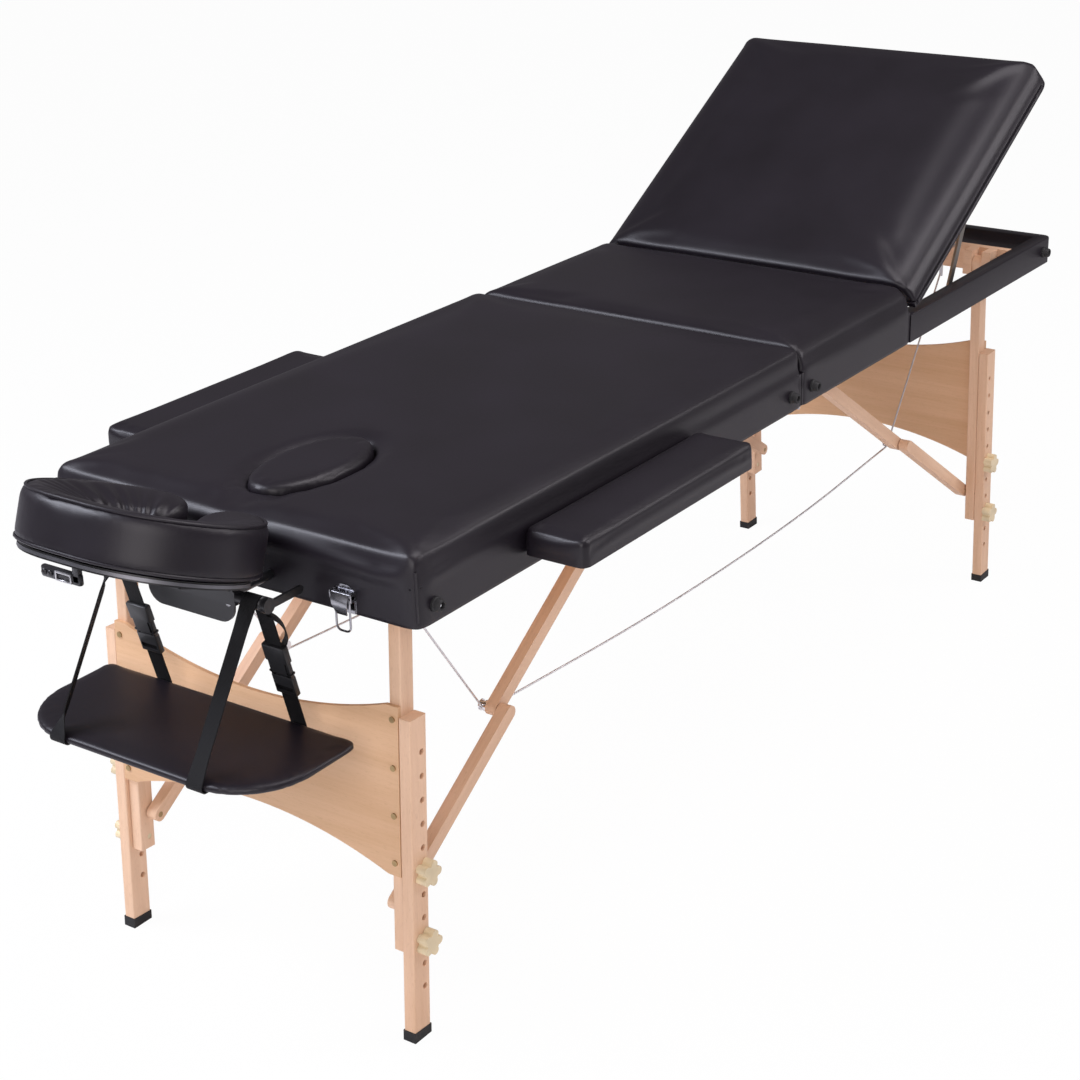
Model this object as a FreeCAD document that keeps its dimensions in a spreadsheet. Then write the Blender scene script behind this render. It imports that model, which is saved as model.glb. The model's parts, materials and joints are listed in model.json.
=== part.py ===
import FreeCAD, Part
import math
import operator
import os

# Folding massage table, set up: two halves hinged at the middle, a raised backrest section on the
# foot half, a face cradle with a hanging arm shelf at the head, two armrests and folding legs.
# Millimetres, +Z up, floor at z = 0. X runs along the table with the head at -X, and the fold line
# stands at fold_line_x, which centres the whole object over the origin.

doc = FreeCAD.newDocument("massage_table")
sheet = doc.addObject("Spreadsheet::Sheet", "Dims")

DIMENSIONS = [
    ("fold_line_x", 129.2, "fold line, from the middle of the object's overall length"),
    ("half_length", 925.0, "each half, fold line to end"),
    ("table_width", 600.0, "over the covered sides"),
    ("skin", 2.0, "vinyl cover on the frame's sides"),
    ("rail_bottom", 595.0, "floor to the underside of the frame"),
    ("rail_height", 45.0, "frame rails, height"),
    ("rail_thick", 20.0, "frame rails, thickness"),
    ("middle_rail_thick", 18.0, "rail beside the fold, thickness"),
    ("deck_thick", 5.0, "plywood deck"),
    ("pad_thick", 45.0, "foam and cover on the deck"),
    ("frame_corner", 12.0, "frame and deck, radius of the outer corners"),
    ("pad_edge", 20.0, "pads, rounding of the outer top edge"),
    ("seam_edge", 8.0, "pads, rounding of the top edge at a seam"),
    ("pad_crown", 3.0, "pads, rise of the middle over the rounded edge"),
    ("crown_run", 70.0, "pads, width over which the crown rises"),
    ("fold_gap", 1.0, "each half stands back from the fold line"),
    ("hinge_drop", 3.5, "fold axis below the frame"),
    ("hinge_pin_radius", 1.5, "middle hinge, pin"),
    ("knuckle_radius", 3.0, "middle hinge, barrel"),
    ("leaf_length", 46.0, "middle hinge, leaf along X"),
    ("leaf_width", 18.0, "middle hinge, leaf along Y"),
    ("leaf_thick", 2.0, "middle hinge, leaf"),
    ("running_fit", 0.08, "radial clearance of a pin in its hole"),
    ("overrun", 1.0, "cutting shapes reach past the faces that they cut"),
    ("free_gap", 0.3, "clearance between pieces that pass each other"),
    ("face_hole_inset", 170.0, "face hole, centre from the head end"),
    ("face_hole_length", 212.0, "face hole along X"),
    ("face_hole_width", 114.0, "face hole along Y"),
    ("plug_gap", 0.6, "plug to hole, all round"),
    ("plug_crown", 6.0, "plug stands above the pad"),
    ("plug_edge", 10.0, "plug, radius of the top edge"),
    ("head_pivot_inset", 53.0, "head leg pivot from the head end"),
    ("foot_pivot_inset", 147.0, "foot leg pivot from the foot end"),
    ("pivot_rise", 21.5, "leg pivot above the underside of the frame"),
    ("leg_splay", 3.0, "legs lean outwards, degrees"),
    ("leg_inset", 55.5, "inner leg, inner face from the side rail's inner face"),
    ("leg_bar_x", 26.0, "inner leg section along X"),
    ("leg_bar_y", 18.0, "inner leg section along Y"),
    ("leg_bar_length", 494.0, "inner leg below its pivot"),
    ("bar_edge", 2.0, "rounding of the wooden bars' long edges"),
    ("bolt_radius", 4.0, "bolts at the leg and brace pivots"),
    ("carrier_thick", 15.0, "leg carrier bar along X"),
    ("carrier_offset", 16.0, "leg carrier bar, from the pivot outwards"),
    ("cheek_thick", 16.0, "leg carrier cheeks"),
    ("extension_top", 165.0, "top of the outer leg below the pivot"),
    ("extension_thick", 18.0, "outer leg section along Y"),
    ("hole_pitch", 33.0, "height holes, spacing"),
    ("first_hole", 48.0, "first height hole below the top of the outer leg"),
    ("hole_line", 3.0, "height holes, inwards from the pivot line"),
    ("knob_radius", 18.0, "star knobs, over the lobes"),
    ("knob_lobe", 6.0, "star knobs, radius of a lobe"),
    ("knob_thick", 15.0, "star knobs"),
    ("foot_cap_height", 13.0, "rubber foot"),
    ("foot_cap_sole", 6.0, "rubber foot, under the leg"),
    ("foot_cap_wall", 0.8, "rubber foot, wall round the leg"),
    ("panel_thick", 6.0, "end panel"),
    ("panel_top", 151.0, "end panel, top corner below the pivot"),
    ("panel_bottom", 384.0, "end panel, bottom corner below the pivot"),
    ("panel_dip", 38.0, "end panel, dip of the top edge"),
    ("panel_arch", 38.0, "end panel, arch of the bottom edge"),
    ("screw_radius", 4.0, "panel screw heads"),
    ("screw_head", 1.6, "panel screw heads, height"),
    ("screw_inset", 18.0, "first and last panel screws from the panel's corners"),
    ("brace_width", 20.0, "braces, width"),
    ("brace_thick", 17.0, "braces, thickness"),
    ("brace_offset", 8.0, "brace pivots, inwards from the leg pivot line"),
    ("brace_on_leg", 440.0, "lower brace pivot, below the leg pivot"),
    ("brace_reach", 650.0, "upper brace pivot, from the leg pivot along the frame"),
    ("lane_gap", 2.0, "between the braces and the legs"),
    ("clevis_wall", 3.0, "brace clevis, plate thickness"),
    ("bolt_head_radius", 8.0, "elbow bolt heads"),
    ("bolt_head", 5.0, "elbow bolt heads, height"),
    ("clip_radius", 6.0, "cable clip on the elbow bolt"),
    ("backrest_seam", 360.0, "backrest hinge line from the fold line"),
    ("seam_gap", 0.4, "each pad stands back from the seam"),
    ("seam_drop", 4.0, "backrest hinge line below the pad tops"),
    ("backrest_corner", 28.0, "backrest pad, radius of the outer corners"),
    ("backrest_angle", 30.0, "backrest above level, degrees"),
    ("backrest_end_gap", 3.0, "backrest short of the foot end"),
    ("board_thick", 8.0, "backrest board"),
    ("board_gap", 0.5, "backrest board above the rails when flat"),
    ("prop_pivot_x", 577.0, "prop pivot from the fold line"),
    ("prop_pivot_z", 620.0, "prop pivot above the floor"),
    ("prop_length", 180.0, "prop, pivot to pin"),
    ("prop_depth", 63.0, "prop pin below the backrest's hinge line, square to the board"),
    ("prop_width", 14.0, "prop, bar width"),
    ("prop_thick", 4.0, "prop, bar thickness"),
    ("prop_inset", 12.0, "prop bar from the rail"),
    ("prop_pin_radius", 4.0, "prop pins"),
    ("prop_pin_length", 10.0, "prop pins beside the bar"),
    ("rack_slack", 0.6, "prop pin to rack"),
    ("cradle_rod_y", 75.0, "cradle rods from the middle plane"),
    ("cradle_rod_z", 617.0, "cradle rods above the floor"),
    ("cradle_rod_radius", 6.0, "cradle rods"),
    ("bushing_wall", 3.0, "rod bushings, wall"),
    ("rod_grip", 45.0, "cradle rods, length inside the head end"),
    ("cradle_bar_out", 75.0, "cradle bar and tilt axis from the head end"),
    ("cradle_bar_radius", 8.0, "cradle bar, round ends"),
    ("cradle_bar_half", 134.0, "cradle bar, half length"),
    ("cradle_block_half", 90.0, "cradle bar, half length of the square middle"),
    ("cradle_axis_z", 636.0, "cradle tilt axis above the floor"),
    ("ear_thick", 4.0, "tilt ears"),
    ("ear_y", 84.0, "tilt ears from the middle plane"),
    ("tilt_pin_radius", 4.0, "tilt pins"),
    ("lug_radius", 8.5, "platform lugs round the tilt pins"),
    ("cradle_out", 121.0, "cushion centre from the head end"),
    ("cradle_top", 740.0, "cushion centre, top face above the floor"),
    ("cradle_tilt", 20.0, "cradle front raised, degrees"),
    ("cradle_bend", 87.0, "horseshoe centre line, radius of the bends"),
    ("cradle_spread", 24.0, "horseshoe bends, centres from the middle plane"),
    ("cradle_half_band", 41.0, "half the width of the cushion's band"),
    ("cradle_opening", 24.0, "bends stop short of the table, degrees"),
    ("cradle_thick", 70.0, "cradle cushion"),
    ("cradle_edge", 16.0, "cradle cushion, rounding of the edges"),
    ("plate_thick", 8.0, "cradle platform"),
    ("plate_inset", 6.0, "platform inside the cushion's edge"),
    ("plate_back", 30.0, "platform stops short of the tilt axis"),
    ("lever_length", 56.0, "cradle cam lever"),
    ("lever_thick", 4.0, "cradle cam lever"),
    ("lever_hub", 10.0, "cradle cam lever, hub radius"),
    ("shelf_height", 421.0, "underside of the arm shelf above the floor"),
    ("shelf_thick", 12.0, "arm shelf"),
    ("shelf_gap", 15.0, "arm shelf, rear edge from the head end"),
    ("shelf_depth", 186.0, "arm shelf along X"),
    ("shelf_width", 424.0, "arm shelf along Y"),
    ("shelf_front_corner", 98.0, "arm shelf, front corner radius"),
    ("shelf_back_corner", 15.0, "arm shelf, rear corner radius"),
    ("strap_y", 114.0, "shelf straps from the middle plane"),
    ("strap_width", 25.0, "shelf straps"),
    ("strap_thick", 1.6, "shelf straps"),
    ("buckle_length", 76.0, "strap buckles"),
    ("buckle_width", 36.0, "strap buckles"),
    ("buckle_thick", 10.0, "strap buckles"),
    ("buckle_drop", 110.0, "strap buckles, centre below the cradle bar along the strap"),
    ("armrest_x", 510.0, "armrest centre from the fold line"),
    ("armrest_length", 410.0, "armrest"),
    ("armrest_width", 90.0, "armrest"),
    ("armrest_gap", 4.0, "right armrest to the table's side"),
    ("left_armrest_gap", 27.0, "left armrest to the table's side, where it stands drawn out"),
    ("armrest_top", 655.0, "armrest pad, top above the floor"),
    ("armrest_pad", 25.0, "armrest pad"),
    ("armrest_base", 14.0, "armrest board"),
    ("armrest_corner", 10.0, "armrest, corner radius"),
    ("armrest_edge", 7.0, "armrest pad, rounding of the top edge"),
    ("peg_radius", 5.0, "armrest pegs"),
    ("peg_spacing", 220.0, "armrest pegs along X"),
    ("bumper_radius", 9.5, "rubber side bumpers"),
    ("bumper_thick", 13.0, "rubber side bumpers"),
    ("bumper_inset", 32.0, "bumpers from the ends of each half"),
    ("latch_y", 194.0, "end latches from the middle plane"),
    ("latch_width", 34.0, "end latches"),
    ("latch_height", 36.0, "end latches, base plate"),
    ("latch_thick", 2.0, "end latches, base plate"),
    ("latch_axis_out", 9.0, "latch lever axis in front of the end face"),
    ("latch_axis_drop", 12.0, "latch lever axis below the top of its plate"),
    ("latch_pin_radius", 2.5, "latch lever axis, pin"),
    ("lever_plate", 26.0, "latch lever, length"),
    ("bail_length", 42.0, "latch bail below its axis"),
    ("bail_radius", 1.5, "latch bail wire"),
    ("keeper_out", 4.0, "latch keepers in front of the foot end"),
    ("cable_radius", 1.5, "steel cable"),
    ("cable_gap", 8.0, "cable, inwards from the upper brace"),
    ("cable_inset", 40.0, "cable eye from the leg pivot, inwards"),
    ("cable_eye_radius", 3.0, "cable eye bolts"),
    ("cable_sag", 26.0, "cable at the fold, below the elbow clips"),
    ("cable_level", 215.0, "level stretch of the cable each side of the fold"),
]
HOLE_COUNT = 11
KNOB_HOLES = (5, 8)
SCREWS = 4
KNOB_LOBES = 5
EDGE_STEPS = 4
RACK_ANGLES = (30.0, 45.0, 60.0)
BEND_SHARE = 0.45


class Size:
    """A size that carries its value and the sheet formula that it comes from."""

    def __init__(self, value, text):
        self.value = value
        self.text = text

    def __add__(self, other):
        return combine(self, "+", other)

    def __radd__(self, other):
        return combine(other, "+", self)

    def __sub__(self, other):
        return combine(self, "-", other)

    def __rsub__(self, other):
        return combine(other, "-", self)

    def __mul__(self, other):
        return combine(self, "*", other)

    def __rmul__(self, other):
        return combine(other, "*", self)

    def __truediv__(self, other):
        return combine(self, "/", other)

    def __neg__(self):
        return combine(0, "-", self)


OPERATIONS = {"+": operator.add, "-": operator.sub, "*": operator.mul, "/": operator.truediv}


def as_size(item):
    if isinstance(item, Size):
        return item
    return Size(float(item), f"({float(item)!r})")


def combine(first, sign, second):
    first, second = as_size(first), as_size(second)
    value = OPERATIONS[sign](first.value, second.value)
    return Size(value, f"({first.text} {sign} {second.text})")


def sine(angle):
    return Size(math.sin(math.radians(angle.value)), f"sin({angle.text})")


def cosine(angle):
    return Size(math.cos(math.radians(angle.value)), f"cos({angle.text})")


def tangent(angle):
    return Size(math.tan(math.radians(angle.value)), f"tan({angle.text})")


def root(item):
    return Size(math.sqrt(item.value), f"sqrt({item.text})")


def slope(ratio):
    """The angle in degrees whose tangent is given."""
    return Size(math.degrees(math.atan(ratio.value)), f"(atan({ratio.text}) / 1 deg)")


def lift(ratio):
    """The angle in degrees whose sine is given."""
    return Size(math.degrees(math.asin(ratio.value)), f"(asin({ratio.text}) / 1 deg)")


class Dimensions:
    """The sheet's sizes by name."""


D = Dimensions()
for row, (alias, value, note) in enumerate(DIMENSIONS, 1):
    sheet.set(f"A{row}", note)
    sheet.set(f"B{row}", str(value))
    sheet.setAlias(f"B{row}", alias)
    setattr(D, alias, Size(value, f"Dims.{alias}"))
doc.recompute()

ZERO = as_size(0)
AXIS_TURN = {
    "x": FreeCAD.Rotation(FreeCAD.Vector(0, 1, 0), 90),
    "y": FreeCAD.Rotation(FreeCAD.Vector(1, 0, 0), -90),
    "z": FreeCAD.Rotation(),
}
nodes = []


def bind(item, **settings):
    """Tie an object's properties to sheet formulas."""
    for name, amount in settings.items():
        item.setExpression(name, as_size(amount).text)


def move(item, x, y, z):
    for part, amount in zip("xyz", (x, y, z)):
        item.setExpression(f"Placement.Base.{part}", as_size(amount).text)


def block(x, y, z):
    """A box between two values on each axis."""
    box = doc.addObject("Part::Box", "block")
    bind(box, Length=x[1] - x[0], Width=y[1] - y[0], Height=z[1] - z[0])
    move(box, x[0], y[0], z[0])
    return box


def rod(axis, start, radius, length):
    """A cylinder from a start point along one axis."""
    cylinder = doc.addObject("Part::Cylinder", "rod")
    bind(cylinder, Radius=radius, Height=length)
    cylinder.Placement = FreeCAD.Placement(FreeCAD.Vector(), AXIS_TURN[axis])
    move(cylinder, *start)
    return cylinder


def fuse(*items):
    whole = doc.addObject("Part::MultiFuse", "joined")
    whole.Shapes = list(items)
    whole.Refine = True
    return whole


def cut(base, *tools):
    whole = doc.addObject("Part::Cut", "cut")
    whole.Base = base
    whole.Tool = tools[0] if len(tools) == 1 else fuse(*tools)
    return whole


def other_side(item):
    """The same piece on the other side of the table's middle plane."""
    mirror = doc.addObject("Part::Mirroring", "mirrored")
    mirror.Source = item
    mirror.Normal = (0, 1, 0)
    mirror.Base = (0, 0, 0)
    return mirror


def both_sides(item):
    return [item, other_side(item)]


def softened(base, radius, chosen):
    """Round the edges that chosen(edge) picks."""
    doc.recompute()
    fillet = doc.addObject("Part::Fillet", "softened")
    fillet.Base = base
    edges = enumerate(base.Shape.Edges, 1)
    fillet.Edges = [(number, radius.value, radius.value) for number, edge in edges if chosen(edge)]
    return fillet


def upright(edge):
    """A test for straight edges along Z."""
    return edge.Curve.TypeId == "Part::GeomLine" and abs(edge.Curve.Direction.z) > 0.999


def lies_at(height):
    """A test for edges that lie wholly at one height."""

    def test(edge):
        box = edge.BoundBox
        return max(abs(box.ZMin - height), abs(box.ZMax - height)) < 0.01

    return test


def corner_at(x, y=None):
    """A test for upright edges at one end, and on one side where y is given."""

    def test(edge):
        box = edge.BoundBox
        on_side = y is None or abs(box.YMin - y.value) < 0.01
        return upright(edge) and abs(box.XMin - x.value) < 0.01 and on_side

    return test


def set_down(items, at, turn, label):
    """Group solids, turn the group about Y and set it in place."""
    group = doc.addObject("Part::Compound", label)
    group.Label = label
    group.Links = list(items)
    group.Placement = FreeCAD.Placement(FreeCAD.Vector(), FreeCAD.Rotation(FreeCAD.Vector(0, 1, 0), 1))
    group.setExpression("Placement.Rotation.Angle", as_size(turn).text)
    move(group, *at)
    return group


def node(label, solids, at=(0, 0, 0), turn=0):
    """A named sub-part, placed from the fold line."""
    place = (D.fold_line_x + at[0], at[1], at[2])
    nodes.append(set_down(solids, place, turn, label))


def drawn(shape):
    """A piece whose outline is drawn from the sheet's values."""
    feature = doc.addObject("Part::Feature", "drawn")
    feature.Shape = shape
    return feature


def ordered(sign, near, far):
    """Two distances measured outwards, as a range along X."""
    return (near, far) if sign > 0 else (-far, -near)


def arc_edge(centre, radius, start, end, height):
    """A level arc between two angles in degrees, under a half circle."""
    points = []
    for angle in (start, (start + end) / 2, end):
        turn = math.radians(angle)
        x = centre[0] + radius * math.cos(turn)
        y = centre[1] + radius * math.sin(turn)
        points.append(FreeCAD.Vector(x, y, height))
    return Part.Arc(*points).toShape()


def rounded_rectangle(x, y, height, corners):
    """A level outline with its own radius at each corner, from the far right corner round."""
    places = ((x[1], y[1], -1, -1), (x[0], y[1], 1, -1), (x[0], y[0], 1, 1), (x[1], y[0], -1, 1))
    arcs = []
    for number, (corner_x, corner_y, to_x, to_y) in enumerate(places):
        radius = corners[number]
        centre = (corner_x + to_x * radius, corner_y + to_y * radius)
        arcs.append(arc_edge(centre, radius, 90 * number, 90 * number + 90, height))
    edges = []
    for number, arc in enumerate(arcs):
        following = arcs[(number + 1) % 4]
        start = arc.Vertexes[-1].Point
        end = following.Vertexes[0].Point
        edges += [arc, Part.LineSegment(start, end).toShape()]
    return Part.Wire(edges)


def rounding(radius, steps):
    """Points of a rounded edge: how far in and how far below the top, from the side upwards."""
    turns = [math.pi / 2 * step / steps for step in range(steps + 1)]
    return [(radius * (1 - math.cos(turn)), radius * (1 - math.sin(turn))) for turn in turns]


def pad(x, y, z, corner, edge, ends=None, crown=None, crown_run=None):
    """A foam pad with straight sides, rounded top edges and a crowned top.

    ends gives the rounding at the low and high X ends where a seam makes it smaller.
    """
    x = [item.value for item in x]
    y = [item.value for item in y]
    low, high = z[0].value, z[1].value
    edge = edge.value
    shares = [item.value / edge for item in ends] if ends else [1, 1]
    rise = crown.value if crown else 0
    levels = [(0, low)] + [(inset, high - rise - drop) for inset, drop in rounding(edge, EDGE_STEPS)]
    if crown:
        levels.append((edge + crown_run.value, high))
    wires = []
    for inset, height in levels:
        level_x = (x[0] + inset * shares[0], x[1] - inset * shares[1])
        level_y = (y[0] + inset, y[1] - inset)
        wires.append(rounded_rectangle(level_x, level_y, height, [corner.value] * 4))
    return drawn(Part.makeLoft(wires, True, True))


def horseshoe(half_band, height):
    """A level horseshoe outline, open towards +X, round the cradle's centre line."""
    bend, spread = D.cradle_bend.value, D.cradle_spread.value
    stop = D.cradle_opening.value
    outer, inner = bend + half_band, bend - half_band
    tip_x = bend * math.cos(math.radians(stop))
    tip_y = spread + bend * math.sin(math.radians(stop))
    front_out = [FreeCAD.Vector(-outer, side * spread, height) for side in (1, -1)]
    front_in = [FreeCAD.Vector(-inner, side * spread, height) for side in (-1, 1)]
    edges = [
        arc_edge((0, spread), outer, stop, 180, height),
        Part.LineSegment(*front_out).toShape(),
        arc_edge((0, -spread), outer, 180, 360 - stop, height),
        arc_edge((tip_x, -tip_y), half_band, -stop, 90 - stop, height),
        arc_edge((tip_x, -tip_y), half_band, 90 - stop, 180 - stop, height),
        arc_edge((0, -spread), inner, 360 - stop, 180, height),
        Part.LineSegment(*front_in).toShape(),
        arc_edge((0, spread), inner, 180, stop, height),
        arc_edge((tip_x, tip_y), half_band, 180 + stop, 270 + stop, height),
        arc_edge((tip_x, tip_y), half_band, 270 + stop, 360 + stop, height),
    ]
    return Part.Wire(edges)


def upright_face(outline, start, thick):
    """Corner points in the XZ plane, made thick along Y from a start."""
    points = [FreeCAD.Vector(x, start, z) for x, z in outline]
    wire = Part.makePolygon(points + points[:1])
    return Part.Face(wire).extrude(FreeCAD.Vector(0, thick, 0))


def unit(first, second):
    """The direction from one point to another."""
    gap = second - first
    return gap / gap.Length


def belt(circles, extra, y):
    """The face inside a band pulled round circles in the XZ plane, and the band's straight runs."""
    sides = []
    for number, (centre, radius) in enumerate(circles):
        following, next_radius = circles[(number + 1) % len(circles)]
        along = unit(centre, following)
        outwards = FreeCAD.Vector(along.z, 0, -along.x)
        lean = (radius - next_radius) / (following - centre).Length
        normal = outwards * math.sqrt(1 - lean * lean) + along * lean
        start = centre + normal * (radius + extra)
        end = following + normal * (next_radius + extra)
        sides.append((start, end, normal))
    edges = []
    for number, (start, end, normal) in enumerate(sides):
        leaving, _, next_normal = sides[(number + 1) % len(sides)]
        centre, radius = circles[(number + 1) % len(circles)]
        middle = normal + next_normal
        middle = centre + middle / middle.Length * (radius + extra)
        edges.append(Part.LineSegment(start, end).toShape())
        edges.append(Part.Arc(end, middle, leaving).toShape())
    wire = Part.Wire(edges)
    wire.translate(FreeCAD.Vector(0, y, 0))
    return Part.Face(wire), sides


def swept_wire(points, radii, radius, name):
    """A round wire along straight runs joined by arcs of the given radii."""
    edges = []
    start = points[0]
    for number, bend in enumerate(radii, 1):
        corner = points[number]
        into, out = unit(points[number - 1], corner), unit(corner, points[number + 1])
        turn = into.getAngle(out)
        reach = bend * math.tan(turn / 2)
        first, last = corner - into * reach, corner + out * reach
        to_centre = (out - into) / (out - into).Length
        centre = corner + to_centre * (bend / math.cos(turn / 2))
        edges.append(Part.LineSegment(start, first).toShape())
        edges.append(Part.Arc(first, centre - to_centre * bend, last).toShape())
        start = last
    edges.append(Part.LineSegment(start, points[-1]).toShape())
    path = Part.Wire(edges)
    ring = Part.Wire([Part.Circle(points[0], unit(points[0], points[1]), radius).toShape()])
    tube = path.makePipeShell([ring], True, False)
    share = tube.Volume / (math.pi * radius ** 2 * path.Length)
    sizes = ", ".join(f"{bend:.1f}" for bend in radii)
    print(f"{name}: length {path.Length:.1f}, radii {sizes}, volume over section times length {share:.4f}")
    return tube


# Heights and widths that many pieces share
half_width = D.table_width / 2
rail_out = half_width - D.skin
rail_in = rail_out - D.rail_thick
rail_top = D.rail_bottom + D.rail_height
deck_top = rail_top + D.deck_thick
pad_top = deck_top + D.pad_thick
frame_end = D.half_length - D.skin
pivot_z = D.rail_bottom + D.pivot_rise
head_pivot = D.half_length - D.head_pivot_inset
foot_pivot = D.half_length - D.foot_pivot_inset
brace_z = pivot_z + D.brace_offset
fold_z = D.rail_bottom - D.hinge_drop
frame_z = (D.rail_bottom, rail_top)
deck_z = (rail_top, deck_top)
pad_z = (deck_top, pad_top)
full_width = (-half_width, half_width)
frame_width = (-rail_out, rail_out)
seat_x = (D.fold_gap, D.backrest_seam - D.seam_gap)
cover_corner = D.frame_corner + D.skin

# Places along the head end, from the fold line outwards
face_hole_x = D.half_length - D.face_hole_inset
rod_inner_end = D.half_length - D.rod_grip
cradle_bar_x = D.half_length + D.cradle_bar_out
cradle_x = D.half_length + D.cradle_out
shelf_back = D.half_length + D.shelf_gap

# Lanes across the width, from the middle plane outwards
leg_lane = rail_in - D.leg_inset
lower_lane = leg_lane - D.lane_gap - D.brace_thick
upper_lane = lower_lane - D.lane_gap - D.brace_thick
cable_y = upper_lane - D.cable_gap
leg_out = leg_lane + D.leg_bar_y
extension_in = leg_out + D.free_gap
extension_out = extension_in + D.extension_thick
half_bar = D.leg_bar_x / 2
panel_out = half_bar + D.panel_thick
pivot_hole = D.bolt_radius + D.running_fit
peg_z = D.armrest_top - D.armrest_pad - D.armrest_base / 2

# The brace linkage is straight when open and folds flat beside the stowed leg
leg_foot_out = D.brace_on_leg * sine(D.leg_splay) - D.brace_offset * cosine(D.leg_splay)
leg_foot_down = D.brace_on_leg * cosine(D.leg_splay) + D.brace_offset * sine(D.leg_splay)
brace_run = D.brace_reach + leg_foot_out
brace_fall = D.brace_offset + leg_foot_down
brace_span = root(brace_run * brace_run + brace_fall * brace_fall)
upper_brace = (brace_span + D.brace_reach - D.brace_on_leg) / 2
lower_brace = brace_span - upper_brace
brace_slope = slope(brace_fall / brace_run)
half_brace = D.brace_width / 2


def rod_bores(x, length, radius):
    """Cylinders along X at the two cradle rods."""
    return [rod("x", (x, side * D.cradle_rod_y, D.cradle_rod_z), radius, length) for side in (-1, 1)]


def peg_bores(y, length):
    """Holes along Y for an armrest's two pegs."""
    bores = []
    for side in (-1, 1):
        x = side * D.peg_spacing / 2 - D.armrest_x
        bores.append(rod("y", (x, y, peg_z), D.peg_radius + D.running_fit, length))
    return bores


def frame_half(name, sign):
    """The rails of one half: two sides, the end rail and the rail beside the fold."""
    side = block(ordered(sign, D.fold_gap, frame_end), (-rail_out, -rail_in), frame_z)
    side = softened(side, D.frame_corner, corner_at(sign * frame_end, -rail_out))
    end = block(ordered(sign, frame_end - D.rail_thick, frame_end), (-rail_in, rail_in), frame_z)
    middle = block(ordered(sign, D.fold_gap, D.fold_gap + D.middle_rail_thick), (-rail_in, rail_in), frame_z)
    if sign < 0:
        through = D.rail_thick + 2 * D.overrun
        end = cut(end, *rod_bores(-frame_end - D.overrun, through, D.cradle_rod_radius + D.bushing_wall))
        side = cut(side, *peg_bores(-rail_out - D.overrun, through))
    else:
        socket = (D.prop_pivot_x, -rail_out + D.rail_thick / 2, D.prop_pivot_z)
        side = cut(side, rod("y", socket, D.prop_pin_radius + D.running_fit, D.rail_thick))
    node(f"{name}_frame", both_sides(side) + [end, middle])


def skin_half(name, sign):
    """The vinyl cover round the three outer sides of one half's frame."""
    height = (D.rail_bottom, deck_top if sign < 0 else rail_top)
    outer = block(ordered(sign, D.fold_gap, D.half_length), full_width, height)
    outer = softened(outer, cover_corner, corner_at(sign * D.half_length))
    inner = block(ordered(sign, D.fold_gap - D.overrun, frame_end), frame_width, height)
    cover = cut(outer, softened(inner, D.frame_corner, corner_at(sign * frame_end)))
    if sign < 0:
        through = D.skin + 2 * D.overrun
        bores = rod_bores(-D.half_length - D.overrun, through, D.cradle_rod_radius + D.bushing_wall)
        bores += peg_bores(-half_width - D.overrun, through)
        bores += peg_bores(rail_out - D.overrun, through)
        cover = cut(cover, *bores)
    else:
        cover = fuse(cover, *both_sides(block(seat_x, (-half_width, -rail_out), deck_z)))
    node(f"{name}_skin", [cover])


def leg_carrier(name, sign, pivot):
    """The wooden bar and cheeks that hold one end's leg pivots."""
    bar_z = (D.rail_bottom + D.lane_gap, rail_top)
    far = D.carrier_offset + D.carrier_thick
    bar = block(ordered(sign, D.carrier_offset, far), (-rail_in, rail_in), bar_z)
    cheeks = []
    for start in (leg_lane - D.free_gap - D.cheek_thick, extension_in):
        lane = (start, start + D.cheek_thick)
        cheek = block(ordered(sign, -half_bar - D.lane_gap, D.carrier_offset), lane, bar_z)
        cheeks += both_sides(cheek)
    reach = D.leg_bar_y + 2 * (D.cheek_thick + D.lane_gap)
    bore = rod("y", (0, leg_out + D.cheek_thick + D.lane_gap - reach, pivot_z), D.bolt_radius, reach)
    bores = both_sides(bore)
    if sign < 0:
        through = D.carrier_thick + 2 * D.overrun
        for side in (-1, 1):
            place = (-far - D.overrun, side * D.cradle_rod_y, D.cradle_rod_z)
            bores.append(rod("x", place, D.cradle_rod_radius + D.free_gap, through))
    node(f"{name}_leg_carrier", [cut(fuse(bar, *cheeks), *bores)], (sign * pivot, 0, 0))


def pivot_hardware(name, sign, pivot):
    """Fixed steel of one half: leg bolts, brace clevises with their bolts, and cable eyes."""
    start = leg_lane - D.free_gap - D.cheek_thick
    leg_bolt = rod("y", (0, start, pivot_z), D.bolt_radius, extension_in + D.cheek_thick - start)
    lane = (upper_lane - D.free_gap - D.clevis_wall, upper_lane + D.brace_thick + D.free_gap + D.clevis_wall)
    x = -sign * D.brace_reach
    plate_x = (x - half_brace, x + half_brace)
    plate_z = (brace_z - half_brace, rail_top)
    base = block(plate_x, lane, (rail_top - D.clevis_wall, rail_top))
    near = block(plate_x, (lane[0], lane[0] + D.clevis_wall), plate_z)
    far = block(plate_x, (lane[1] - D.clevis_wall, lane[1]), plate_z)
    bolt = rod("y", (x, lane[0], brace_z), D.bolt_radius, lane[1] - lane[0])
    clevis = fuse(base, near, far, bolt)
    eye_x = -sign * D.cable_inset
    eye = rod("z", (eye_x, cable_y, D.rail_bottom), D.cable_eye_radius, D.rail_height)
    arm_x = ordered(sign, -D.cable_inset - D.cable_eye_radius, D.carrier_offset)
    arm_y = (cable_y - D.cable_eye_radius, cable_y + D.cable_eye_radius)
    arm = block(arm_x, arm_y, (rail_top - D.clevis_wall, rail_top))
    solids = both_sides(leg_bolt) + both_sides(clevis) + both_sides(fuse(eye, arm))
    node(f"{name}_pivot_hardware", solids, (sign * pivot, 0, 0))


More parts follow.
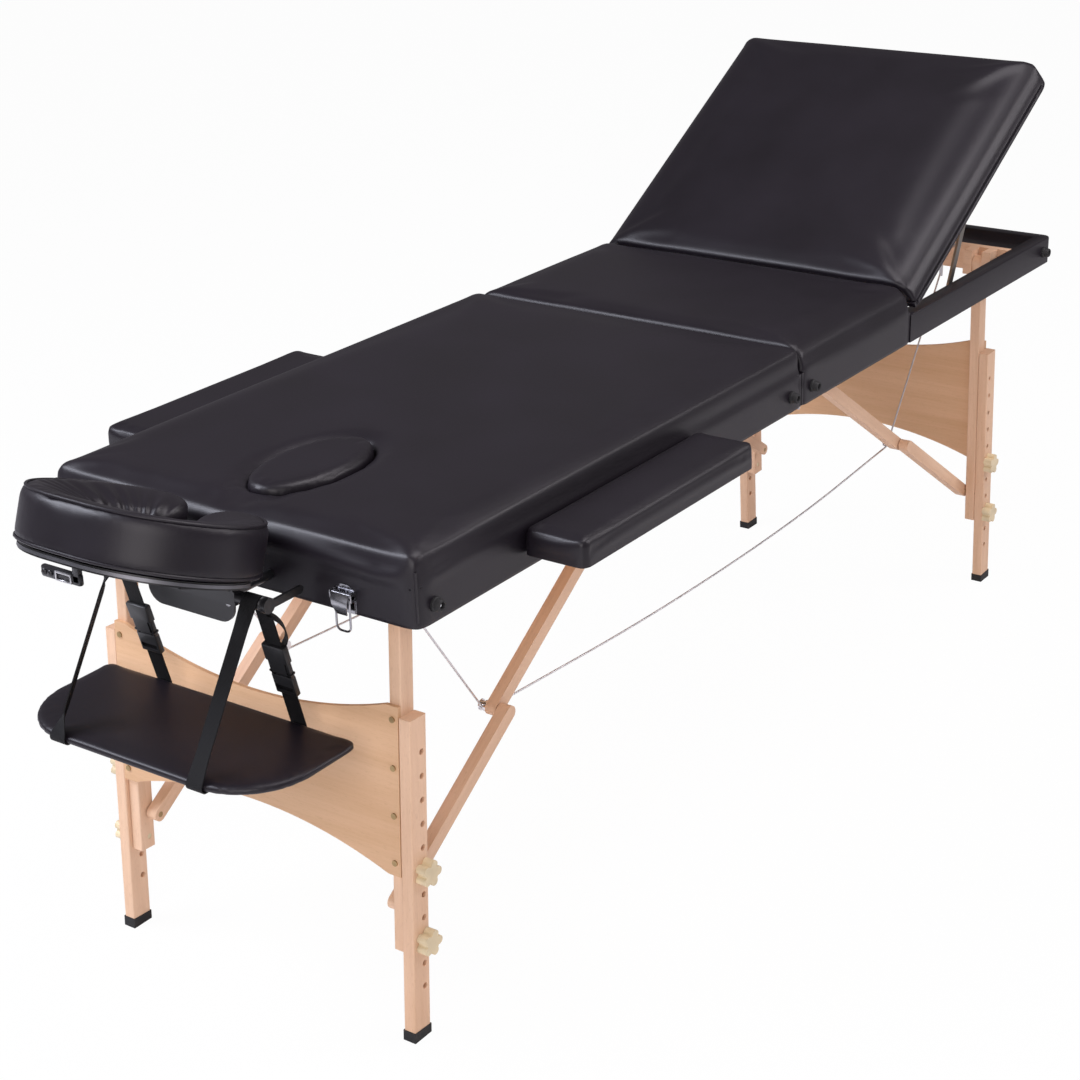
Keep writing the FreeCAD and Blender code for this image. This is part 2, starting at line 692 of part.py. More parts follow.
def link_bar(length, y, holes):
    """A wooden brace hanging down from its first pivot, with round ends and drilled holes."""
    thick = y[1] - y[0]
    bar = fuse(
        block((-half_brace, half_brace), y, (-length, ZERO)),
        rod("y", (0, y[0], 0), half_brace, thick),
        rod("y", (0, y[0], -length), half_brace, thick),
    )
    start, through = y[0] - D.overrun, thick + 2 * D.overrun
    return cut(bar, *[rod("y", (0, start, -place), radius, through) for place, radius in holes])


def hole_depth(number):
    """A height hole's distance below the leg pivot."""
    return D.extension_top + D.first_hole + number * D.hole_pitch


def star_knob(x, z):
    """A lobed knob and its bolt, on the -Y side."""
    face = -extension_out - D.knob_thick
    thick = D.knob_thick - D.free_gap
    reach = D.knob_radius - D.knob_lobe
    pieces = [rod("y", (x, face, z), reach, thick)]
    for number in range(KNOB_LOBES):
        turn = 2 * math.pi * number / KNOB_LOBES
        place = (x + reach * math.cos(turn), face, z + reach * math.sin(turn))
        pieces.append(rod("y", place, D.knob_lobe, thick))
    length = D.extension_thick + D.leg_bar_y
    start = (x, -extension_out - D.free_gap, z)
    pieces.append(rod("y", start, D.bolt_radius - D.running_fit, length))
    return fuse(*pieces)


def legs(name, sign, pivot):
    """One end's inner legs, end panel and fasteners, which turn about the leg pivots."""
    at = (sign * pivot, 0, pivot_z)
    lean = -sign * D.leg_splay
    lane = (-leg_out, -leg_lane)
    hole_x = -sign * D.hole_line
    brace_x = -sign * D.brace_offset
    bar = softened(block((-half_bar, half_bar), lane, (-D.leg_bar_length, ZERO)), D.bar_edge, upright)
    head = rod("y", (0, lane[0], 0), half_bar, D.leg_bar_y)
    start, through = lane[0] - D.overrun, D.leg_bar_y + 2 * D.overrun
    bores = [rod("y", (0, start, 0), pivot_hole, through)]
    bores.append(rod("y", (brace_x, start, -D.brace_on_leg), D.bolt_radius, through))
    for number in KNOB_HOLES:
        bores.append(rod("y", (hole_x, start, -hole_depth(number)), D.bolt_radius, through))
    node(f"{name}_inner_legs", both_sides(cut(fuse(bar, head), *bores)), at, lean)

    chord = leg_lane - D.lane_gap
    ply_edge = leg_out - D.free_gap
    ply = block(ordered(sign, half_bar, panel_out), (-ply_edge, ply_edge), (-D.panel_bottom, -D.panel_top))
    curves = []
    for depth, edge, way in ((D.panel_dip, -D.panel_top, 1), (D.panel_arch, -D.panel_bottom, -1)):
        radius = (chord * chord + depth * depth) / (2 * depth)
        start = ordered(sign, half_bar - D.overrun, panel_out + D.overrun)[0]
        length = D.panel_thick + 2 * D.overrun
        curves.append(rod("x", (start, 0, edge + way * (radius - depth)), radius, length))
    node(f"{name}_end_panel", [cut(ply, *curves)], at, lean)

    fasteners = []
    step = (D.panel_bottom - D.panel_top - 2 * D.screw_inset) / (SCREWS - 1)
    for number in range(SCREWS):
        depth = D.panel_top + D.screw_inset + number * step
        x = ordered(sign, panel_out, panel_out + D.screw_head)[0]
        place = (x, -leg_lane - D.leg_bar_y / 2, -depth)
        fasteners += both_sides(rod("x", place, D.screw_radius, D.screw_head))
    bolt_end = leg_out - D.free_gap
    start = (brace_x, -bolt_end, -D.brace_on_leg)
    fasteners += both_sides(rod("y", start, D.bolt_radius, bolt_end - lower_lane))
    node(f"{name}_leg_fasteners", fasteners, at, lean)


def outer_legs(name, sign, pivot):
    """One end's sliding outer legs with their height holes, rubber feet and star knobs."""
    at = (sign * pivot, 0, pivot_z)
    lean = -sign * D.leg_splay
    hole_x = -sign * D.hole_line
    x = ordered(sign, -half_bar, panel_out)
    y = (-extension_out, -extension_in)
    floor = pivot_z / cosine(D.leg_splay)
    wood_end = floor - D.foot_cap_sole - half_bar * tangent(D.leg_splay)
    wood = softened(block(x, y, (-wood_end, -D.extension_top)), D.bar_edge, upright)
    bores = []
    for number in range(HOLE_COUNT):
        place = (hole_x, y[0] - D.overrun, -hole_depth(number))
        bores.append(rod("y", place, D.bolt_radius + D.free_gap, D.extension_thick + 2 * D.overrun))
    node(f"{name}_leg_extensions", both_sides(cut(wood, *bores)), at, lean)

    cap_x = (x[0] - D.foot_cap_wall, x[1] + D.foot_cap_wall)
    cap_y = (y[0] - D.foot_cap_wall, y[1] + D.foot_cap_wall)
    cap_top = -(wood_end + D.foot_cap_sole - D.foot_cap_height)
    sole = [(item, -floor - sign * item * tangent(D.leg_splay)) for item in cap_x]
    corners = [(cap_x[0], cap_top), (cap_x[1], cap_top), sole[1], sole[0]]
    outline = [(across.value, down.value) for across, down in corners]
    rubber = drawn(upright_face(outline, cap_y[0].value, (cap_y[1] - cap_y[0]).value))
    socket = block(x, y, (-wood_end, cap_top + D.overrun))
    node(f"{name}_foot_caps", both_sides(cut(rubber, socket)), at, lean)

    knobs = [star_knob(hole_x, -hole_depth(number)) for number in KNOB_HOLES]
    node(f"{name}_right_knobs", knobs, at, lean)
    node(f"{name}_left_knobs", [other_side(knob) for knob in knobs], at, lean)


def braces(name, sign, pivot):
    """One end's folding braces, and the elbow bolts with their cable clips."""
    foot = (sign * (pivot + leg_foot_out), 0, pivot_z - leg_foot_down)
    lane = (-lower_lane - D.brace_thick, -lower_lane)
    bar = link_bar(lower_brace, lane, ((ZERO, pivot_hole),))
    node(f"{name}_lower_braces", both_sides(bar), foot, sign * (90 + brace_slope))
    top = (sign * (pivot - D.brace_reach), 0, brace_z)
    turn = -sign * (90 - brace_slope)
    lane = (-upper_lane - D.brace_thick, -upper_lane)
    bar = link_bar(upper_brace, lane, ((ZERO, pivot_hole), (upper_brace, D.bolt_radius)))
    node(f"{name}_upper_braces", both_sides(bar), top, turn)
    shank = rod("y", (0, lane[0], -upper_brace), D.bolt_radius, D.brace_thick)
    head = rod("y", (0, lane[1], -upper_brace), D.bolt_head_radius, D.bolt_head)
    clip_start = lane[1] + D.bolt_head
    clip_length = 2 * (-cable_y - clip_start)
    clip = rod("y", (0, clip_start, -upper_brace), D.clip_radius, clip_length)
    rim = rod("y", (0, clip_start + clip_length, -upper_brace), D.bolt_head_radius, D.lane_gap)
    node(f"{name}_elbow_bolts", both_sides(fuse(shank, head, clip, rim)), top, turn)


def cables(name, sign, pivot):
    """One half's steel cables: from the eye under the deck, under the elbow clip, to the fold."""
    fall = math.radians(brace_slope.value)
    elbow_x = pivot.value - D.brace_reach.value + upper_brace.value * math.cos(fall)
    elbow_z = brace_z.value - upper_brace.value * math.sin(fall)
    bend = D.clip_radius.value + D.cable_radius.value + D.free_gap.value
    low_z = elbow_z - bend - D.cable_sag.value
    y = -cable_y.value
    eye_x = pivot.value - D.cable_inset.value - D.cable_eye_radius.value - D.cable_radius.value
    eye = FreeCAD.Vector(sign * eye_x, y, D.rail_bottom.value + 2 * D.cable_radius.value)
    elbow = FreeCAD.Vector(sign * elbow_x, y, elbow_z)
    level = FreeCAD.Vector(sign * D.cable_level.value, y, low_z)
    fold = FreeCAD.Vector(0, y, low_z)
    into, out = unit(eye, elbow), unit(elbow, level)
    outwards = (into - out) / (into - out).Length
    corner = elbow + outwards * (bend / math.cos(into.getAngle(out) / 2))
    turn = unit(corner, level).getAngle(unit(level, fold))
    gentle = BEND_SHARE * D.cable_level.value / math.tan(turn / 2)
    route = [eye, corner, level, fold]
    tube = drawn(swept_wire(route, (bend, gentle), D.cable_radius.value, f"{name} cable"))
    node(f"{name}_cables", both_sides(tube))


# Head half
frame_half("head", -1)
skin_half("head", -1)
leg_carrier("head", -1, head_pivot)
pivot_hardware("head", -1, head_pivot)


def oval(length, width, z):
    """An upright elliptical column at the face hole."""
    ellipse = doc.addObject("Part::Ellipse", "ellipse")
    bind(ellipse, MajorRadius=length / 2, MinorRadius=width / 2)
    move(ellipse, -face_hole_x, 0, z[0])
    column = doc.addObject("Part::Extrusion", "column")
    column.Base = ellipse
    column.DirMode = "Custom"
    column.Dir = (0, 0, 1)
    bind(column, LengthFwd=z[1] - z[0])
    column.Solid = True
    return column


head_x = (-D.half_length, -D.fold_gap)
hole = oval(D.face_hole_length, D.face_hole_width, (rail_top - D.overrun, pad_top + D.overrun))
head_board = block((-frame_end, -D.fold_gap), frame_width, deck_z)
head_board = softened(head_board, D.frame_corner, corner_at(-frame_end))
node("head_deck", [cut(head_board, hole)])
head_ends = (D.pad_edge, D.seam_edge)
head_foam = pad(head_x, full_width, pad_z, cover_corner, D.pad_edge, head_ends, D.pad_crown, D.crown_run)
node("head_pad", [cut(head_foam, hole)])
plug_top = pad_top + D.plug_crown
plug = oval(D.face_hole_length - 2 * D.plug_gap, D.face_hole_width - 2 * D.plug_gap, (rail_top, plug_top))
node("face_plug", [softened(plug, D.plug_edge, lies_at(plug_top.value))])

bushing_length = D.skin + D.rail_thick
bushing_at = (-D.half_length, -D.cradle_rod_y, D.cradle_rod_z)
bushing = rod("x", bushing_at, D.cradle_rod_radius + D.bushing_wall, bushing_length)
bushing_bore = rod("x", bushing_at, D.cradle_rod_radius + D.running_fit, bushing_length)
node("cradle_bushings", both_sides(cut(bushing, bushing_bore)))

# Foot half
frame_half("foot", 1)
skin_half("foot", 1)
leg_carrier("foot", 1, foot_pivot)
pivot_hardware("foot", 1, foot_pivot)
node("foot_deck", [block(seat_x, frame_width, deck_z)])
seat_ends = (D.seam_edge, D.seam_edge)
seat_foam = pad(seat_x, full_width, pad_z, cover_corner, D.pad_edge, seat_ends, D.pad_crown, D.crown_run)
node("foot_pad", [seat_foam])

# Middle hinges under the side rails
hinge_start = -rail_out + D.rail_thick / 2 - D.leaf_width / 2
knuckle = D.leaf_width / 3


def hinge_leaf(sign, shares):
    """One leaf with its knuckles, on the -Y rail."""
    leaf = block(
        ordered(sign, D.knuckle_radius + D.free_gap, D.leaf_length),
        (hinge_start, hinge_start + D.leaf_width),
        (D.rail_bottom - D.leaf_thick, D.rail_bottom),
    )
    pieces = [leaf]
    for share in shares:
        start = hinge_start + share * knuckle + D.free_gap / 2
        lane = (start, start + knuckle - D.free_gap)
        pieces.append(rod("y", (0, start, fold_z), D.knuckle_radius, knuckle - D.free_gap))
        web_z = (D.rail_bottom - D.leaf_thick, D.rail_bottom - D.free_gap)
        pieces.append(block(ordered(sign, ZERO, D.knuckle_radius + D.leaf_thick), lane, web_z))
    length = D.leaf_width + 2 * D.overrun
    bore = rod("y", (0, hinge_start - D.overrun, fold_z), D.hinge_pin_radius + D.running_fit, length)
    return cut(fuse(*pieces), bore)


node("head_hinge_leaves", both_sides(hinge_leaf(-1, (0, 2))))
node("foot_hinge_leaves", both_sides(hinge_leaf(1, (1,))))
node("centre_hinge_pins", both_sides(rod("y", (0, hinge_start, fold_z), D.hinge_pin_radius, D.leaf_width)))

# Legs, braces and cables at both ends
for end_name, end_sign, end_pivot in (("head", -1, head_pivot), ("foot", 1, foot_pivot)):
    legs(end_name, end_sign, end_pivot)
    outer_legs(end_name, end_sign, end_pivot)
    braces(end_name, end_sign, end_pivot)
    cables(end_name, end_sign, end_pivot)

# Rubber bumpers on the long side that the folded table stands on
bumper_z = D.rail_bottom + D.rail_height / 2
for end_name, end_sign in (("head", -1), ("foot", 1)):
    bumpers = []
    for place in (D.bumper_inset, D.half_length - D.bumper_inset):
        start = (end_sign * place, -half_width - D.bumper_thick, bumper_z)
        bumpers.append(rod("y", start, D.bumper_radius, D.bumper_thick))
    node(f"{end_name}_bumpers", bumpers)

# Backrest, turned up about the seam, with its rack strips and the props that hold it
hinge_z = pad_top - D.seam_drop
board_low = rail_top + D.board_gap - hinge_z
back_end = D.half_length - D.backrest_end_gap - D.backrest_seam
board_end = back_end - D.skin
prop_out = rail_in - D.prop_inset
prop_in = prop_out - D.prop_thick
at_seam = (D.backrest_seam, 0, hinge_z)
prop_x = D.prop_pivot_x - D.backrest_seam
prop_z = D.prop_pivot_z - hinge_z


def prop_angle(tilt):
    """The prop's angle above level that holds its pin at its depth under the tilted backrest."""
    height = prop_z * cosine(tilt) - prop_x * sine(tilt)
    return tilt + lift((-D.prop_depth - height) / D.prop_length)


prop_rest = prop_angle(D.backrest_angle)
prop_flat = prop_angle(ZERO)
prop_ratio = (prop_rest - prop_flat) / D.backrest_angle


def rack_point(tilt):
    """Where the prop's pin meets the rack at one backrest angle: along the board, and height."""
    prop = math.radians(prop_flat.value + prop_ratio.value * tilt)
    x = prop_x.value + D.prop_length.value * math.cos(prop)
    z = prop_z.value + D.prop_length.value * math.sin(prop)
    turn = math.radians(tilt)
    along = x * math.cos(turn) + z * math.sin(turn)
    height = z * math.cos(turn) - x * math.sin(turn)
    return along, height + D.prop_pin_radius.value + D.rack_slack.value


board = block((D.seam_gap, board_end), frame_width, (board_low, board_low + D.board_thick))
board = softened(board, D.backrest_corner - D.skin, corner_at(board_end))
rack = [rack_point(tilt) for tilt in RACK_ANGLES]
past = D.prop_width.value
start_of_rack = [(rack[0][0] + past, board_low.value), (rack[0][0] + past, rack[0][1])]
end_of_rack = [(rack[-1][0] - past, board_low.value)]
outline = start_of_rack + rack + end_of_rack
strip = drawn(upright_face(outline, -prop_in.value, D.prop_pin_length.value))
node("backrest_board", [board] + both_sides(strip), at_seam, -D.backrest_angle)
back_x = (D.seam_gap, back_end)
back_z = (board_low + D.board_thick, D.seam_drop)
back_ends = (D.seam_edge, D.pad_edge)
back_crown = (D.pad_crown, D.crown_run)
back_foam = pad(back_x, full_width, back_z, D.backrest_corner, D.pad_edge, back_ends, *back_crown)
node("backrest_pad", [back_foam], at_seam, -D.backrest_angle)
half_prop = D.prop_width / 2
socket_depth = D.rail_thick / 2 - D.free_gap
prop = fuse(
    block((ZERO, D.prop_length), (-prop_out, -prop_in), (-half_prop, half_prop)),
    rod("y", (0, -prop_out, 0), half_prop, D.prop_thick),
    rod("y", (D.prop_length, -prop_out, 0), half_prop, D.prop_thick),
    rod("y", (0, -rail_in - socket_depth, 0), D.prop_pin_radius, socket_depth + D.prop_inset),
    rod("y", (D.prop_length, -prop_in, 0), D.prop_pin_radius, D.prop_pin_length),
)
node("backrest_props", both_sides(prop), (D.prop_pivot_x, 0, D.prop_pivot_z), -prop_rest)

# Face cradle: rods and bar, tilting platform, horseshoe cushion and cam lever
bar_z = D.cradle_rod_z
block_half = D.cradle_rod_radius + D.bushing_wall
ear_top = D.cradle_axis_z + D.tilt_pin_radius * 2
bar_x = (-cradle_bar_x - D.cradle_bar_radius, -cradle_bar_x + D.cradle_bar_radius)
middle_y = (-D.cradle_block_half, D.cradle_block_half)
base_pieces = [block(bar_x, middle_y, (bar_z - block_half, bar_z + block_half))]
bar_start = (-cradle_bar_x, -D.cradle_bar_half, bar_z)
base_pieces.append(rod("y", bar_start, D.cradle_bar_radius, 2 * D.cradle_bar_half))
base_pieces += rod_bores(-cradle_bar_x, cradle_bar_x - rod_inner_end, D.cradle_rod_radius)
ear_out = D.ear_y + D.ear_thick
ear = block(bar_x, (-ear_out, -D.ear_y), (bar_z, ear_top))
lug_out = D.ear_y - D.free_gap
lug_in = lug_out - D.ear_thick
tilt_pin = rod("y", (-cradle_bar_x, -ear_out, D.cradle_axis_z), D.tilt_pin_radius, ear_out - lug_in)
base_pieces += both_sides(ear) + both_sides(tilt_pin)
lever_y = -D.cradle_bar_half - D.free_gap - D.lever_thick
lever_pin = rod("y", (-cradle_bar_x, lever_y, bar_z), D.tilt_pin_radius, D.cradle_bar_radius + D.lever_thick)
node("cradle_base", [fuse(*base_pieces, lever_pin)])

at_cradle = (-cradle_x, 0, D.cradle_top)
axis_x = cradle_x - cradle_bar_x
axis_z = D.cradle_axis_z - D.cradle_top
axis_along = axis_x * cosine(D.cradle_tilt) - axis_z * sine(D.cradle_tilt)
axis_up = axis_x * sine(D.cradle_tilt) + axis_z * cosine(D.cradle_tilt)
plate_top = -D.cradle_thick - D.free_gap
plate_low = plate_top - D.plate_thick
plate_end = axis_along - D.plate_back
ring = horseshoe((D.cradle_half_band - D.plate_inset).value, plate_low.value)
plate = drawn(Part.Face(ring).extrude(FreeCAD.Vector(0, 0, D.plate_thick.value)))
trim_z = (plate_low - D.overrun, plate_top + D.overrun)
trim = block((plate_end, plate_end + D.cradle_bend), full_width, trim_z)
lug_start = plate_end - 2 * D.plate_back
lug_lane = (-lug_out, -lug_in)
lug = fuse(
    block((lug_start, axis_along), lug_lane, (axis_up - D.lug_radius, axis_up + D.lug_radius)),
    block((lug_start, plate_end), lug_lane, (axis_up, plate_low)),
    rod("y", (axis_along, -lug_out, axis_up), D.lug_radius, D.ear_thick),
)
bore_radius = D.tilt_pin_radius + D.running_fit
lug_through = D.ear_thick + 2 * D.overrun
lug_bore = rod("y", (axis_along, -lug_out - D.overrun, axis_up), bore_radius, lug_through)
platform = fuse(cut(plate, trim), *both_sides(cut(lug, lug_bore)))
node("cradle_platform", [platform], at_cradle, D.cradle_tilt)

top_edge = [(inset, -drop) for inset, drop in rounding(D.cradle_edge.value, EDGE_STEPS)]
low_edge = [(inset, drop - D.cradle_thick.value) for inset, drop in rounding(D.cradle_edge.value / 2, 2)]
sections = list(reversed(low_edge)) + top_edge
wires = [horseshoe(D.cradle_half_band.value - inset, height) for inset, height in sections]
node("cradle_cushion", [drawn(Part.makeLoft(wires, True, True))], at_cradle, D.cradle_tilt)

lever_lane = (lever_y, lever_y + D.lever_thick)
half_lever = D.lever_hub / 2
lever = fuse(
    rod("y", (0, lever_y, 0), D.lever_hub, D.lever_thick),
    block((ZERO, D.lever_length), lever_lane, (-half_lever, half_lever)),
    rod("y", (D.lever_length, lever_y, 0), half_lever, D.lever_thick),
)
lever_bore = rod("y", (0, lever_y - D.overrun, 0), bore_radius, D.lever_thick + 2 * D.overrun)
node("cradle_cam_lever", [cut(lever, lever_bore)], (-cradle_bar_x, 0, bar_z))

# Arm shelf, slung from the cradle bar by two straps with buckles
shelf_front = shelf_back + D.shelf_depth
shelf_x = (-shelf_front.value, -shelf_back.value)
shelf_y = (-D.shelf_width.value / 2, D.shelf_width.value / 2)
front, back = D.shelf_front_corner.value, D.shelf_back_corner.value
plan = rounded_rectangle(shelf_x, shelf_y, D.shelf_height.value, (back, front, front, back))
shelf = drawn(Part.Face(plan).extrude(FreeCAD.Vector(0, 0, D.shelf_thick.value)))
shelf_faces = (D.shelf_height.value, (D.shelf_height + D.shelf_thick).value)
shelf_rims = [lies_at(height) for height in shelf_faces]
shelf_round = D.shelf_thick / 2 - D.free_gap
node("arm_shelf", [softened(shelf, shelf_round, lambda edge: any(rim(edge) for rim in shelf_rims))])

shelf_middle = (D.shelf_height + D.shelf_thick / 2).value
shelf_half = (D.shelf_thick / 2).value
strap_rounds = [
    (FreeCAD.Vector(-cradle_bar_x.value, 0, bar_z.value), (D.cradle_bar_radius + D.free_gap).value),
    (FreeCAD.Vector(shelf_x[0] + shelf_half, 0, shelf_middle), shelf_half + D.free_gap.value),
    (FreeCAD.Vector(shelf_x[1] - shelf_half, 0, shelf_middle), shelf_half + D.free_gap.value),
]
strap_start = (-D.strap_y - D.strap_width / 2).value
outer_face, _ = belt(strap_rounds, D.strap_thick.value, strap_start)
inner_face, strap_runs = belt(strap_rounds, 0, strap_start)
band = outer_face.cut(inner_face).extrude(FreeCAD.Vector(0, D.strap_width.value, 0))
node("shelf_straps", both_sides(drawn(band.Solids[0])))

rear_low, rear_top, rear_normal = strap_runs[2]
rear_lean = math.degrees(math.atan2(rear_top.x - rear_low.x, rear_top.z - rear_low.z))
strap_centre = rear_top + rear_normal * (D.strap_thick.value / 2)
buckle_at = strap_centre + unit(rear_top, rear_low) * D.buckle_drop.value
half_buckle = D.buckle_length / 2
buckle_x = (-D.buckle_thick / 2, D.buckle_thick / 2)
buckle_y = (-D.strap_y - D.buckle_width / 2, -D.strap_y + D.buckle_width / 2)
shell = softened(block(buckle_x, buckle_y, (-half_buckle, half_buckle)), D.bar_edge, lambda edge: True)
slot_half = D.strap_thick / 2 + D.free_gap
slot_y = (-D.strap_y - D.strap_width / 2 - D.free_gap, -D.strap_y + D.strap_width / 2 + D.free_gap)
slot = block((-slot_half, slot_half), slot_y, (-half_buckle - D.overrun, half_buckle + D.overrun))
node("shelf_buckles", both_sides(cut(shell, slot)), (buckle_at.x, 0, buckle_at.z), rear_lean)

# Armrests, pegged into the head half's sides
rest_x = (-D.armrest_x - D.armrest_length / 2, -D.armrest_x + D.armrest_length / 2)
rest_z = D.armrest_top - D.armrest_pad


def armrest(gap):
    """A board with two pegs, and its pad, at a gap from the table's right side."""
    rest_y = (-half_width - gap - D.armrest_width, -half_width - gap)
    board = softened(block(rest_x, rest_y, (rest_z - D.armrest_base, rest_z)), D.armrest_corner, upright)
    pegs = []
    for side in (-1, 1):
        start = (side * D.peg_spacing / 2 - D.armrest_x, rest_y[1] - D.overrun, peg_z)
        pegs.append(rod("y", start, D.peg_radius, gap + D.skin + D.rail_thick))
    cushion = pad(rest_x, rest_y, (rest_z, D.armrest_top), D.armrest_corner, D.armrest_edge)
    return fuse(board, *pegs), cushion


right_board, right_cushion = armrest(D.armrest_gap)
left_board, left_cushion = armrest(D.left_armrest_gap)
node("right_armrest_base", [right_board])
node("right_armrest_pad", [right_cushion])
node("left_armrest_base", [other_side(left_board)])
node("left_armrest_pad", [other_side(left_cushion)])

# Draw latches on the head end and their keepers on the foot end
half_latch = D.latch_width / 2
latch_top = D.rail_bottom + D.latch_height
latch_axis_z = latch_top - D.latch_axis_drop
latch_axis_x = -D.half_length - D.latch_axis_out
plate_front = -D.half_length - D.latch_thick
near_ear = (-D.latch_y - half_latch, -D.latch_y - half_latch + D.latch_thick)
far_ear = (-D.latch_y + half_latch - D.latch_thick, -D.latch_y + half_latch)
ear_x = (latch_axis_x - D.latch_pin_radius * 2, plate_front)
ear_z = (latch_axis_z - D.latch_pin_radius * 2, latch_axis_z + D.latch_pin_radius * 2)
latch = fuse(
    block((plate_front, -D.half_length), (near_ear[0], far_ear[1]), (D.rail_bottom, latch_top)),
    block(ear_x, near_ear, ear_z),
    block(ear_x, far_ear, ear_z),
    rod("y", (latch_axis_x, near_ear[0], latch_axis_z), D.latch_pin_radius, D.latch_width),
)
node("latch_bases", both_sides(latch))
lever_start = near_ear[1] + D.free_gap
lever_width = D.latch_width - 2 * (D.latch_thick + D.free_gap)
lever_sides = (lever_start, lever_start + lever_width)
hub_radius = D.latch_pin_radius + D.latch_thick
lever_face = latch_axis_x - hub_radius
bail_end = latch_axis_z - D.bail_length
lever_heights = (latch_axis_z - D.lever_plate, latch_axis_z)
latch_pieces = [
    rod("y", (latch_axis_x, lever_start, latch_axis_z), hub_radius, lever_width),
    block((lever_face, lever_face + D.latch_thick), lever_sides, lever_heights),
    rod("y", (latch_axis_x, lever_start, bail_end), D.bail_radius, lever_width),
]
for place in (lever_sides[0] + 2 * D.bail_radius, lever_sides[1] - 2 * D.bail_radius):
    latch_pieces.append(rod("z", (latch_axis_x, place, bail_end), D.bail_radius, D.bail_length))
latch_hole = D.latch_pin_radius + D.running_fit
latch_through = lever_width + 2 * D.overrun
latch_bore = rod("y", (latch_axis_x, lever_start - D.overrun, latch_axis_z), latch_hole, latch_through)
latch_lever = cut(fuse(*latch_pieces), latch_bore)
node("right_latch_lever", [latch_lever])
node("left_latch_lever", [other_side(latch_lever)])
keeper_y = (-D.latch_y - half_latch / 2, -D.latch_y + half_latch / 2)
keeper_plate_z = (D.rail_bottom, D.rail_bottom + D.latch_height / 2)
keeper_lip_z = (D.rail_bottom, D.rail_bottom + D.latch_thick)
keeper = fuse(
    block((D.half_length, D.half_length + D.latch_thick), keeper_y, keeper_plate_z),
    block((D.half_length, D.half_length + D.keeper_out), keeper_y, keeper_lip_z),
)
node("latch_keepers", both_sides(keeper))

doc.recompute()
broken = [item.Name for item in doc.Objects if "Invalid" in item.State or "Error" in item.State]
if broken:
    raise RuntimeError(f"these objects failed: {broken}")
for item in nodes:
    shape = item.Shape
    if shape.isNull() or not shape.isValid():
        raise RuntimeError(f"{item.Label} has no valid shape")
    if len(shape.Solids) != len(item.Links) or min(solid.Volume for solid in shape.Solids) <= 0:
        raise RuntimeError(f"{item.Label} has {len(shape.Solids)} solids for {len(item.Links)} pieces")

os.makedirs("parts", exist_ok=True)
for item in nodes:
    item.Shape.exportStep(f"parts/{item.Label}.step")
print(f"{len(nodes)} nodes, prop ratio {prop_ratio.value:.4f}, brace slope {brace_slope.value:.3f}")
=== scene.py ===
"""Looks of a folding massage table: covers, pads, wood, cables, webbing, floor, light and camera."""

import json
import math

import bmesh
import bpy
from mathutils import Matrix, Vector
from mathutils.geometry import convex_hull_2d


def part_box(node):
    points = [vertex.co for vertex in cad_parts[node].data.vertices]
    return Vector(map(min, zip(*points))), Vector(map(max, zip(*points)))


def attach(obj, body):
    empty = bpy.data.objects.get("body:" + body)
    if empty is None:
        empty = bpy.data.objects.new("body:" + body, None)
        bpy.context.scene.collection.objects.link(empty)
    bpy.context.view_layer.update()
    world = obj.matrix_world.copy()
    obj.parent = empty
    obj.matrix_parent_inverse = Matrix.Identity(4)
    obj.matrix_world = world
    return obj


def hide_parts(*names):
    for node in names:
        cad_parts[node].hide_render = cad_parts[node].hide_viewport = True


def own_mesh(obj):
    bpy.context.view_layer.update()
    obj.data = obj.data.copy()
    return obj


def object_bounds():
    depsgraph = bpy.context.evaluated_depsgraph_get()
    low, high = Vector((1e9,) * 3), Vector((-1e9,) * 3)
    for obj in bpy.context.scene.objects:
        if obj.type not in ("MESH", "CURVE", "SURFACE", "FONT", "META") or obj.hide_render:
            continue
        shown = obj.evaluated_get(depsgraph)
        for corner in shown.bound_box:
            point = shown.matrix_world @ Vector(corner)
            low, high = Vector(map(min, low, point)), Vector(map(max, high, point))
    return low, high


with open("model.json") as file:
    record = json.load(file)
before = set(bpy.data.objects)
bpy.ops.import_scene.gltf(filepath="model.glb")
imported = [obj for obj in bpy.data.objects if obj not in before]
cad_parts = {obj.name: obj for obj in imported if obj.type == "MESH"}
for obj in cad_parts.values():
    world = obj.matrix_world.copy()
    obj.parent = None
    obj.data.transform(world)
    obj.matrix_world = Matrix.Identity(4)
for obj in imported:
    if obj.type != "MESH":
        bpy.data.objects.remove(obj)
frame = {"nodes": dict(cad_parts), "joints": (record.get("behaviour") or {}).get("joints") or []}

cad_low, cad_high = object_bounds()
NODES = frame["nodes"]
JOINTS = {joint["name"]: joint for joint in frame["joints"]}
ENDS = (("head", -1), ("foot", 1))
SIDES = (("right", -1), ("left", 1))
TINY = 1e-6
QUARTER = math.pi / 2


# Shader maths

class Value:
    """A shader socket that takes part in Python arithmetic."""

    def __init__(self, shading, socket):
        self.shading = shading
        self.socket = socket

    def __add__(self, other):
        return self.shading.math("ADD", self, other)

    def __mul__(self, other):
        return self.shading.math("MULTIPLY", self, other)

    def __gt__(self, other):
        return self.shading.math("GREATER_THAN", self, other)

    __radd__ = __add__
    __rmul__ = __mul__


